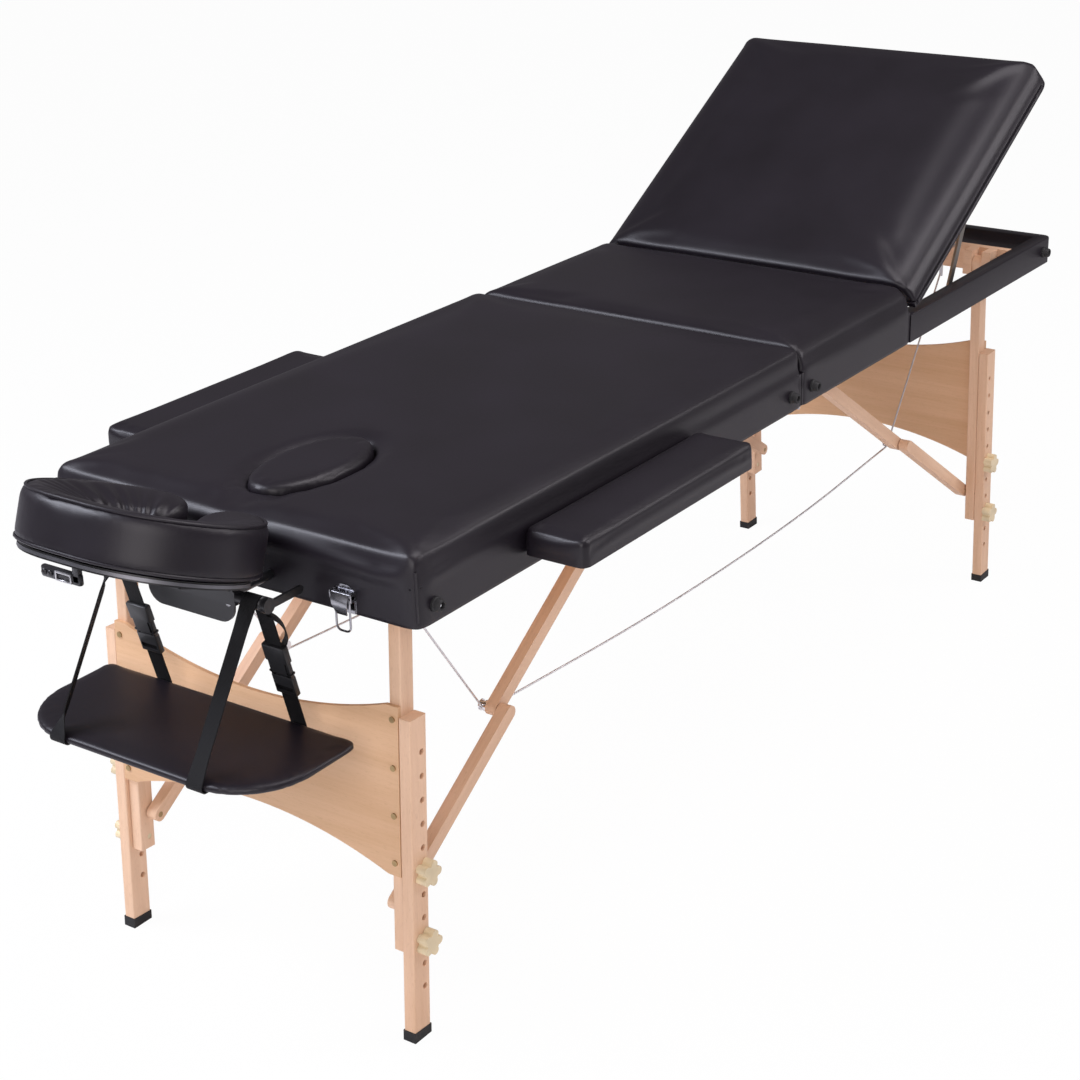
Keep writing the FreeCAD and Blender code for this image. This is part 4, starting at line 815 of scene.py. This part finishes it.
def ribbon(name, line, halves, thick, material):
    """A strip drawn along a line by its edge; its UV map is in millimetres.

    halves holds the step from the line to the strip's edge at each point.
    """
    bm = bmesh.new()
    edge = bm.edges.new([bm.verts.new(line[0] - halves[0]), bm.verts.new(line[0] + halves[0])])
    ends = list(edge.verts)
    run = 0.0
    chart = {ends[0]: (0.0, 0.0), ends[1]: (2 * MILLIMETRES * halves[0].length, 0.0)}
    for before, place, half in zip(line, line[1:], halves[1:]):
        made = bmesh.ops.extrude_edge_only(bm, edges=[edge])["geom"]
        edge = next(item for item in made if isinstance(item, bmesh.types.BMEdge))
        ends = [min(edge.verts, key=lambda vertex: (vertex.co - end.co).length) for end in ends]
        run += MILLIMETRES * (place - before).length
        for end, sign in zip(ends, (-1, 1)):
            end.co = place + sign * half
            chart[end] = ((1 + sign) * MILLIMETRES * half.length, run)
    layer = bm.loops.layers.uv.new("strap")
    for face in bm.faces:
        for loop in face.loops:
            loop[layer].uv = chart[loop.vert]
    close_up(bm)
    piece = finished(name, bm, material)
    thicken = piece.modifiers.new("thick", "SOLIDIFY")
    thicken.thickness = thick
    thicken.offset = 0.0
    bake_modifiers(piece)
    return piece


def runs_of(loop):
    """Each corner of a closed loop with the next one."""
    return list(zip(loop, loop[1:] + loop[:1]))


def strap_route(sign):
    """Corners of the loop that a strap takes round the cradle bar and the shelf."""
    points = [vertex.co for vertex in NODES["shelf_straps"].data.vertices if vertex.co.y * sign > 0]
    flat = [Vector((point.x, point.z)) for point in points]
    hull = [flat[number] for number in convex_hull_2d(flat)]
    loop = [point for point, after in runs_of(hull) if (after - point).length > 1e-5]
    inner = []
    for before, point, after in zip(loop[-1:] + loop, loop, loop[1:] + loop[:1]):
        along = ((point - before).normalized() + (after - point).normalized()).normalized()
        inner.append(point + Vector((-along.y, along.x)) * STRAP_THICK / 2)
    return inner


def make_strap(side, sign):
    """A loop of webbing whose front run twists between the bar and the shelf."""
    y = sign * (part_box("shelf_straps")[1].y - STRAP_HALF)
    line, halves = [], []
    for point, after in runs_of(strap_route(sign)):
        gap = after - point
        steps = max(1, round(gap.length / STRAP_STEP))
        along = Vector((gap.x, 0, gap.y)).normalized()
        peak = math.radians(FRONT_TWIST[side]) if gap.y < -LONG_RUN else 0.0
        for step in range(steps):
            share = step / steps
            place = point + gap * share
            turn = peak * min(1.0, TWIST_RISE * math.sin(math.pi * share))
            line.append(Vector((place.x, y, place.y)))
            across = Vector((0, math.cos(turn), 0)) + math.sin(turn) * along.cross((0, 1, 0))
            halves.append(across * STRAP_HALF)
    strap = ribbon(f"{side}_strap", line + line[:1], halves + halves[:1], STRAP_THICK, webbing)
    add(strap, "arm_shelf")
    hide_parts("shelf_straps")


# A buckle's parts: from and to across the strap, from and to along it, half thickness, edge radius
BUCKLE = {
    "shell": (-0.0178, 0.0178, -0.038, 0.006, 0.005, 0.002),
    "ladder": (-0.0165, 0.0165, 0.0085, 0.038, 0.0042, 0.0016),
    "tongue": (-0.0095, 0.0095, 0.0, 0.012, 0.0034, 0.001),
    "arm": (0.0118, 0.0165, -0.013, 0.0115, 0.0034, 0.0014),
    "window": (0.0118, 0.0218, -0.014, 0.0032, 0.02, None),
    "gap": (-0.0132, 0.0132, 0.0245, 0.0315, 0.02, None),
}


def buckle_part(name, edge=1):
    """One part's bmesh, mirrored across the strap where edge is -1."""
    first, second, start, stop, thick, radius = BUCKLE[name]
    low, high = sorted((edge * first, edge * second))
    corners = (low, start, -thick), (high, stop, thick)
    return boxed(*corners, radius) if radius else block(*corners)


def make_buckle(side, sign):
    """A side-release buckle on the strap's rear run; gives its middle and the strap's direction."""
    points = [vertex.co for vertex in NODES["shelf_buckles"].data.vertices if vertex.co.y * sign > 0]
    middle = sum(points, Vector()) / len(points)
    lower, upper = max(runs_of(strap_route(sign)), key=lambda run: run[1].y - run[0].y)
    along = Vector((lower.x - upper.x, 0, lower.y - upper.y)).normalized()
    across = Vector((0, 1, 0))
    shell = finished("shell", buckle_part("shell"), black_plastic)
    ladder = finished("ladder", buckle_part("ladder"), black_plastic)
    cut_away(ladder, finished("gap", buckle_part("gap"), black_plastic))
    parts = [buckle_part("tongue")]
    for edge in (-1, 1):
        cut_away(shell, finished("window", buckle_part("window", edge), black_plastic))
        parts.append(buckle_part("arm", edge))
    buckle = merged(f"{side}_buckle", parts + [taken(shell), taken(ladder)], black_plastic)
    turn = Matrix((across, along, across.cross(along))).transposed().to_4x4()
    buckle.data.transform(Matrix.Translation(middle) @ turn)
    add(buckle, "arm_shelf")
    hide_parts("shelf_buckles")
    return middle, along


def make_tail(middle, along):
    """The strap's spare end, looped beside the right buckle."""
    away = Vector((0.75, -0.66, 0)).normalized()
    half = Vector((0.66, 0.75, 0)).normalized() * STRAP_HALF * 0.8
    steps = ((-0.085, 0.002), (-0.078, 0.013), (-0.058, 0.02), (-0.04, 0.016), (-0.03, 0.007))
    line = spline_points([middle + along * down + away * out for down, out in steps])
    tail = ribbon("strap_tail", line, [half] * len(line), STRAP_THICK, webbing)
    add(tail, "arm_shelf")


for side, sign in SIDES:
    make_strap(side, sign)
    buckle_place = make_buckle(side, sign)
    if side == "right":
        make_tail(*buckle_place)


# Piping, edging and fittings of the face cradle

PIPING = 0.0021
EDGING_LOW, EDGING_HIGH = -0.0762, -0.0722
EDGING_THICK = 0.0012
BAR_ROUND = 0.0092
PLATE_HALF, PLATE_DROP, PLATE_THICK, PLATE_CORNER = 0.071, 0.045, 0.004, 0.022
SPRING_START, SPRING_TURNS, SPRING_PITCH, SPRING_WIRE = -0.1336, 8, 0.00072, 0.0009
TURN_STEPS = 12
BRACKET_REACH, BRACKET_HEIGHT = 1.075, 0.616


def on_cradle(x, y, height):
    """A point given in the tilted plane of the cradle."""
    return cradle_centre + Matrix.Rotation(CRADLE_TILT, 3, "Y") @ Vector((x, y, height))


def sweep(centre, radius, start, stop, steps=16):
    """Points of an arc, in degrees."""
    angles = [math.radians(start + (stop - start) * step / steps) for step in range(steps + 1)]
    return [(centre[0] + radius * math.cos(angle), centre[1] + radius * math.sin(angle))
            for angle in angles]


def horseshoe(inset, height):
    """Points round the cushion's outline, moved in from its edge."""
    bend, spread, stop = CRADLE["bend"], CRADLE["spread"], CRADLE["opening"]
    half = CRADLE["band"] - inset
    tip = sweep((0, spread), bend, stop, stop, 1)[0]
    flat = sweep((0, spread), bend + half, stop, 180) + sweep((0, -spread), bend + half, 180, 360 - stop)
    flat += sweep((tip[0], -tip[1]), half, -stop, 180 - stop)
    flat += sweep((0, -spread), bend - half, 360 - stop, 180) + sweep((0, spread), bend - half, 180, stop)
    flat += sweep(tip, half, 180 + stop, 360 + stop)
    line = []
    for x, y in flat:
        if not line or (Vector((x, y, height)) - line[-1]).length > 1e-4:
            line.append(Vector((x, y, height)))
    return [on_cradle(*point) for point in line[:-1]]


def rim(inset, height, start):
    """Points along the outer edge only, from start degrees on one side round to the other."""
    spread = CRADLE["spread"]
    outer = CRADLE["bend"] + CRADLE["band"] - inset
    flat = sweep((0, spread), outer, start, 180, 24) + sweep((0, -spread), outer, 180, 360 - start, 24)
    return [on_cradle(x, y, height) for x, y in flat]


def make_cradle_trim():
    """Piping along the cushion's upper rim and round its foot, and a grey strip below."""
    top_line = rim(0.0048, -0.0048, CRADLE["opening"])
    top_piping = tube("cradle_top_piping", top_line, PIPING, black_leather, 8)
    add(top_piping, "cradle_head")
    low_line = horseshoe(0.0008, -0.0655)
    low_piping = tube("cradle_low_piping", low_line, PIPING, black_leather, 8, closed=True)
    add(low_piping, "cradle_head")
    line = rim(0.0052, (EDGING_LOW + EDGING_HIGH) / 2, 70)
    half = (on_cradle(0, 0, EDGING_HIGH) - on_cradle(0, 0, EDGING_LOW)) / 2
    edging = ribbon("cradle_edging", line, [half] * len(line), EDGING_THICK, edging_grey)
    add(edging, "cradle_head")


def turned(name, profile, place, direction, material):
    """A body turned from (radius, height) points about a direction."""
    bm = bmesh.new()
    points = [bm.verts.new((radius, 0, height)) for radius, height in profile]
    edges = [bm.edges.new(pair) for pair in zip(points, points[1:])]
    bmesh.ops.spin(bm, geom=points + edges, cent=(0, 0, 0), axis=(0, 0, 1), dvec=(0, 0, 0),
                   angle=2 * math.pi, steps=24, use_merge=True)
    close_up(bm)
    piece = finished(name, bm, material)
    turn = Vector(direction).to_track_quat("Z", "Y").to_matrix().to_4x4()
    piece.data.transform(Matrix.Translation(place) @ turn)
    return piece


def dome(radius, height):
    """A rivet or screw head's profile."""
    edge, shoulder = height * 0.4, height * 0.85
    return [(0, -0.001), (radius, -0.001), (radius, edge), (radius * 0.7, shoulder), (0, height)]


def make_arc_plate(bar):
    """A plate with rounded lower corners behind the cradle bar, and its two rivets."""
    front, bottom = bar.x + BAR_ROUND, bar.z - PLATE_DROP
    bm = block((front, -PLATE_HALF, bottom), (front + PLATE_THICK, PLATE_HALF, bar.z - BAR_ROUND))
    low = at_height(bottom)
    round_off(bm, PLATE_CORNER, 6, lambda a, b: low(a, b) and abs(a.y - b.y) < TINY)
    add(finished("cradle_arc_plate", bm, black_metal), "cradle_carriage")
    for number, y in enumerate((-0.063, 0.063)):
        place = (front, y, bar.z - 0.018)
        rivet = turned(f"arc_rivet_{number}", dome(0.004, 0.0022), place, (-1, 0, 0), steel)
        add(rivet, "cradle_carriage")


def make_spring(bar):
    """A return spring wound round the cradle bar."""
    coil = []
    for step in range(SPRING_TURNS * TURN_STEPS + 1):
        angle = step * 2 * math.pi / TURN_STEPS
        along = SPRING_START + SPRING_PITCH / TURN_STEPS * step
        coil.append(bar + Vector((BAR_ROUND * math.cos(angle), along, BAR_ROUND * math.sin(angle))))
    add(tube("cradle_spring", coil, SPRING_WIRE, black_metal, 6), "cradle_carriage")


def make_cradle_bracket(x, z):
    """The platform's left-hand bracket, with a steel window frame and two rivets."""
    front = x - 0.004
    arm = boxed((front, 0.095, z), (x + 0.004, 0.163, z + 0.016), 0.003)
    web = boxed((front, 0.097, z + 0.004), (x + 0.004, 0.107, z + 0.052), 0.001)
    add(merged("cradle_bracket", [arm, web], black_metal), "cradle_head")
    border = boxed((x - 0.0062, 0.108, z + 0.0015), (x - 0.0038, 0.136, z + 0.0145), 0.0008)
    window = finished("cradle_bracket_frame", border, steel)
    pane = block((x - 0.01, 0.1105, z + 0.004), (x, 0.1335, z + 0.012))
    cut_away(window, finished("pane", pane, steel))
    add(window, "cradle_head")
    for number, y in enumerate((0.146, 0.156)):
        place = (front, y, z + 0.008)
        rivet = turned(f"bracket_rivet_{number}", dome(0.0042, 0.003), place, (-1, 0, 0), black_metal)
        add(rivet, "cradle_head")


cradle_bar = Vector(JOINTS["cradle_lever_turn"]["pos_m"])
make_cradle_trim()
make_arc_plate(cradle_bar)
make_spring(cradle_bar)
make_cradle_bracket(fold.x - BRACKET_REACH, BRACKET_HEIGHT)


# Side bumpers, latches and corner seams

BUMPER_RECESS = 0.005
LATCH_HALF = 0.017
LATCH_PLATE = 0.0035
LATCH_PIN = 0.0025
EAR_THICK = 0.002
HUB, HUB_HALF = 0.0045, 0.0136
LOOP_HALF, LOOP_BEND, LOOP_DROP, LOOP_WIRE = 0.0108, 0.007, 0.003, 0.0014
PIN_ROOM = 0.004
# A latch lever's points: out from the pin, up from it, half width
LEVER = ((0.0040, 0.004, 0.0135), (0.0060, -0.004, 0.0132), (0.0058, -0.012, 0.0115),
         (0.0040, -0.019, 0.0092), (0.0018, -0.024, 0.0080))
LEVER_THICK = 0.0016
SEAM_ROUND, SEAM_OUT, SEAM_STEP = 0.0019, 0.0008, 0.006


def islands(node):
    """Middle of each separate solid of a CAD node."""
    bm = bmesh.new()
    bm.from_mesh(NODES[node].data)
    bmesh.ops.remove_doubles(bm, verts=bm.verts, dist=TINY)
    waiting = set(bm.verts)
    places = []
    while waiting:
        group, reach = set(), [next(iter(waiting))]
        while reach:
            vertex = reach.pop()
            if vertex in group:
                continue
            group.add(vertex)
            reach.extend(edge.other_vert(vertex) for edge in vertex.link_edges)
        waiting -= group
        corners = [vertex.co.copy() for vertex in bm.verts if vertex in group]
        places.append(sum(corners, Vector()) / len(corners))
    bm.free()
    return sorted(places, key=lambda place: (place.x, place.y))


def bumper_profile(radius, high):
    """A flange, a tapering body and a recess for the screw, as (radius, height) points."""
    floor = high - BUMPER_RECESS
    return [(0, 0), (radius, 0), (radius, 0.0026), (0.86 * radius, 0.0038), (0.8 * radius, high - 0.0012),
            (0.72 * radius, high), (0.5 * radius, high), (0.45 * radius, high - 0.001),
            (0.45 * radius, floor), (0, floor)]


def make_bumpers(end):
    """Turned rubber bumpers along the right side, each with a screw in its recess."""
    low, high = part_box(f"{end}_bumpers")
    radius, length = (high.z - low.z) / 2, high.y - low.y - PROUD
    for number, place in enumerate(islands(f"{end}_bumpers")):
        spot = Vector((place.x, -half_width - PROUD, place.z))
        profile = bumper_profile(radius, length)
        bumper = turned(f"{end}_bumper_{number}", profile, spot, (0, -1, 0), rubber)
        add(bumper, f"{end}_half")
        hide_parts(f"{end}_bumpers")
        screw_at = spot + Vector((0, BUMPER_RECESS - length, 0))
        head = dome(0.38 * radius, 0.0026)
        screw = turned(f"{end}_bumper_screw_{number}", head, screw_at, (0, -1, 0), chrome)
        add(screw, f"{end}_half")


def cross_rod(axis, y, half, radius):
    """A rod through axis, along Y, with its middle at y."""
    return rod((axis.x, y - half, axis.z), (axis.x, y + half, axis.z), radius)


def make_latch_base(side, y, axis):
    """An arched plate with a pin and the two ears that hold it."""
    low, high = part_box("latch_bases")
    plate = block((high.x - LATCH_PLATE, y - LATCH_HALF, low.z), (high.x, y + LATCH_HALF, high.z))
    for level, radius in ((low.z, 0.004), (high.z, 0.0145)):
        at_end = at_height(level)
        round_off(plate, radius, 6, lambda a, b: at_end(a, b) and abs(a.y - b.y) < TINY)
    parts = [plate, cross_rod(axis, y, LATCH_HALF, LATCH_PIN)]
    for edge in (-1, 1):
        near, far = sorted((y + edge * LATCH_HALF, y + edge * (LATCH_HALF - EAR_THICK)))
        ear_low = (axis.x - 0.004, near, axis.z - 0.006)
        parts.append(boxed(ear_low, (high.x - 0.002, far, axis.z + 0.006), 0.0008))
    base = merged(f"{side}_latch_base", parts, latch_chrome_painted_reflection)
    add(base, "head_half")
    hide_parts("latch_bases")


def make_latch_lever(side, y, axis):
    """A curved lever on a hub, and the wire loop that hangs from it."""
    line = [axis + Vector((-out, y, up)) for out, up, wide in LEVER]
    halves = [Vector((0, wide, 0)) for out, up, wide in LEVER]
    lever = ribbon("lever_plate", line, halves, LEVER_THICK, latch_chrome_painted_reflection)
    bend_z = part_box(f"{side}_latch_lever")[0].z - LOOP_DROP + LOOP_BEND
    loop = [Vector((axis.x, y - LOOP_HALF, axis.z - PIN_ROOM))]
    for bend_y, start in ((y - LOOP_HALF + LOOP_BEND, 180), (y + LOOP_HALF - LOOP_BEND, 270)):
        arc = sweep((bend_y, bend_z), LOOP_BEND, start, start + 90, 6)
        loop += [Vector((axis.x, across, up)) for across, up in arc]
    loop.append(Vector((axis.x, y + LOOP_HALF, axis.z - PIN_ROOM)))
    wire = tube("lever_wire", loop, LOOP_WIRE, latch_chrome_painted_reflection, 8)
    hub = cross_rod(axis, y, HUB_HALF, HUB)
    latch = merged(f"{side}_latch", [hub, taken(lever), taken(wire)], latch_chrome_painted_reflection)
    add(latch, f"{side}_latch_lever")
    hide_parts(f"{side}_latch_lever")


def furthest_points(piece, outwards, low, high):
    """The points of a piece that stand furthest out in a direction, level by level."""
    best = {}
    for vertex in piece.data.vertices:
        if low <= vertex.co.z <= high:
            level = int((vertex.co.z - low) / SEAM_STEP)
            if level not in best or vertex.co.dot(outwards) > best[level].dot(outwards):
                best[level] = vertex.co.copy()
    return [best[level] for level in sorted(best)]


def make_seam(side, sign):
    """A raised seam down one of the head end's corners."""
    outwards = Vector((-1, sign, 0)).normalized()
    route = furthest_points(head_cover, outwards, cover_low + 0.004, pad_top - 0.8 * TOP_EDGE)
    line = spline_points([point + outwards * SEAM_OUT for point in route])
    add(tube(f"{side}_corner_seam", line, SEAM_ROUND, black_leather, 6), "head_half")


for end, sign in ENDS:
    make_bumpers(end)
for side, sign in SIDES:
    latch_y = sign * (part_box("latch_bases")[1].y - LATCH_HALF)
    latch_axis = Vector(JOINTS[f"{side}_latch_turn"]["pos_m"])
    make_latch_base(side, latch_y, latch_axis)
    make_latch_lever(side, latch_y, latch_axis)
for side, sign in SIDES:
    make_seam(side, sign)


# Finishes of the carried-over pieces

FINISHES = {
    "centre_hinge_pins": steel, "cradle_bushings": black_plastic, "backrest_board": ply_x,
    "backrest_props": prop_steel, "cradle_base": black_metal, "cradle_platform": black_plastic,
    "cradle_cam_lever": black_plastic, "right_armrest_base": ply_x, "left_armrest_base": ply_x,
    "latch_keepers": latch_chrome_painted_reflection,
}
for end, sign in ENDS:
    brace_low, brace_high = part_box(f"{end}_upper_braces")
    lean = math.atan2(brace_high.z - brace_low.z, brace_high.x - brace_low.x)
    slanted = wood(f"beech_{end}_brace", (0.0, -sign * lean, 0.0), **BEECH)
    FINISHES.update({
        f"{end}_skin": black_leather, f"{end}_frame": beech_x, f"{end}_leg_carrier": beech_y,
        f"{end}_pivot_hardware": steel, f"{end}_deck": ply_x, f"{end}_hinge_leaves": steel,
        f"{end}_inner_legs": beech_z, f"{end}_end_panel": ply_y, f"{end}_leg_fasteners": brass,
        f"{end}_leg_extensions": beech_z, f"{end}_foot_caps": rubber, f"{end}_right_knobs": cream,
        f"{end}_left_knobs": cream, f"{end}_elbow_bolts": chrome, f"{end}_upper_braces": slanted,
        f"{end}_lower_braces": slanted,
    })
for name, material in FINISHES.items():
    mesh = NODES[name].data
    mesh.materials.clear()
    mesh.materials.append(material)


def wrap_edges(mesh):
    """Black on a board's top and edges, which the cover wraps; its underside stays plain."""
    mesh.materials.append(black_leather)
    up = max(mesh.polygons, key=lambda face: face.area).normal.copy()
    if up.z < 0:
        up.negate()
    top = max(vertex.co.dot(up) for vertex in mesh.vertices)
    thick = min(top - face.center.dot(up) for face in mesh.polygons if face.normal.dot(up) < -0.9)
    for face in mesh.polygons:
        if top - face.center.dot(up) < thick - 0.0005:
            face.material_index = 1


for name in ("head_deck", "foot_deck", "backrest_board"):
    wrap_edges(NODES[name].data)


# Floor, light and camera

WHITE = (1.0, 1.0, 1.0)
# The viewpoint: yaw, pitch and roll in degrees, and its place from the fold line
VIEW_TURN = (35.5561, 22.6875, -1.6058)
VIEW_PLACE = Vector((-2.71853, -1.76013, 1.67042))
LENS = 72.737


def make_floor():
    """A pale floor that the camera sees as almost white."""
    bm = bmesh.new()
    bmesh.ops.create_grid(bm, x_segments=1, y_segments=1, size=30.0)
    finish = Finish("pale_floor")
    speck = finish.noise(finish.place(), scale=3.0, detail=3.0)
    pale = finish.ramp(speck, (0.3, (0.86, 0.86, 0.86)), (0.7, (0.88, 0.88, 0.88)))
    finish.surface(Base_Color=pale, Roughness=0.8, Specular_IOR_Level=0.2)
    plain = Value(finish, finish.shader.outputs[0])
    white = finish.node("ShaderNodeEmission", inputs={"Color": WHITE, "Strength": 1.0})
    seen = finish.node("ShaderNodeLightPath", output="Is Camera Ray") * 0.97
    mixed = finish.node("ShaderNodeMixShader", inputs={0: seen, 1: plain, 2: white})
    finish.feed(finish.tree.nodes["Material Output"].inputs["Surface"], mixed)
    finished("floor", bm, finish.material)


def make_world():
    """White behind the table, and a dim, even light all round it."""
    world = bpy.data.worlds.new("studio")
    bpy.context.scene.world = world
    world.use_nodes = True
    sky = Shading(world.node_tree)
    background = sky.tree.nodes["Background"]
    sky.feed(background.inputs["Color"], WHITE)
    sky.feed(background.inputs["Strength"], 1.0)
    white = Value(sky, background.outputs[0])
    dim = sky.node("ShaderNodeBackground", inputs={"Color": (1.0, 0.95, 1.0), "Strength": 0.19})
    camera_ray = sky.node("ShaderNodeLightPath", output="Is Camera Ray")
    transmission_ray = sky.node("ShaderNodeLightPath", output="Is Transmission Ray")
    seen = sky.math("MAXIMUM", camera_ray, transmission_ray)
    mixed = sky.node("ShaderNodeMixShader", inputs={0: seen, 1: dim, 2: white})
    sky.feed(sky.tree.nodes["World Output"].inputs["Surface"], mixed)


def lamp(name, place, target, size, power, colour):
    light = bpy.data.lights.new(name, "AREA")
    light.shape = "RECTANGLE"
    light.size, light.size_y = size
    light.energy = power
    light.color = colour
    holder = bpy.data.objects.new(name, light)
    holder.location = place
    holder.rotation_euler = (Vector(target) - Vector(place)).to_track_quat("-Z", "Y").to_euler()
    bpy.context.collection.objects.link(holder)


def make_camera():
    """The photograph's viewpoint, fitted to the table's corners."""
    yaw, pitch, roll = (math.radians(value) for value in VIEW_TURN)
    forward = Vector((math.cos(yaw) * math.cos(pitch), math.sin(yaw) * math.cos(pitch), -math.sin(pitch)))
    level = Vector((math.sin(yaw), -math.cos(yaw), 0))
    over = level.cross(forward)
    right = math.cos(roll) * level + math.sin(roll) * over
    up = math.cos(roll) * over - math.sin(roll) * level
    data = bpy.data.cameras.new("camera")
    data.sensor_width = 36.0
    data.lens = LENS
    camera = bpy.data.objects.new("camera", data)
    turn = Matrix((right, up, -forward)).transposed()
    camera.matrix_world = Matrix.Translation(VIEW_PLACE + Vector((fold.x, 0, 0))) @ turn.to_4x4()
    bpy.context.collection.objects.link(camera)
    bpy.context.scene.camera = camera


make_floor()
make_world()
make_camera()
lamp("overhead", (0.4, -0.9, 3.4), (0.0, 0.0, 0.6), (2.2, 1.6), 52.0, (1.0, 0.95, 1.0))
lamp("front", (-3.4, -1.4, 1.9), (0.0, 0.0, 0.4), (2.2, 2.2), 52.0, (1.0, 0.95, 0.97))
lamp("side", (2.2, -3.2, 2.6), (0.3, 0.0, 0.5), (2.0, 1.4), 55.0, (1.0, 0.95, 1.0))
lamp("back_left", (-2.0, 1.7, 2.6), (-0.8, 0.0, 0.6), (1.8, 1.2), 95.0, (0.86, 0.88, 1.0))
bpy.context.scene.view_settings.view_transform = "Standard"
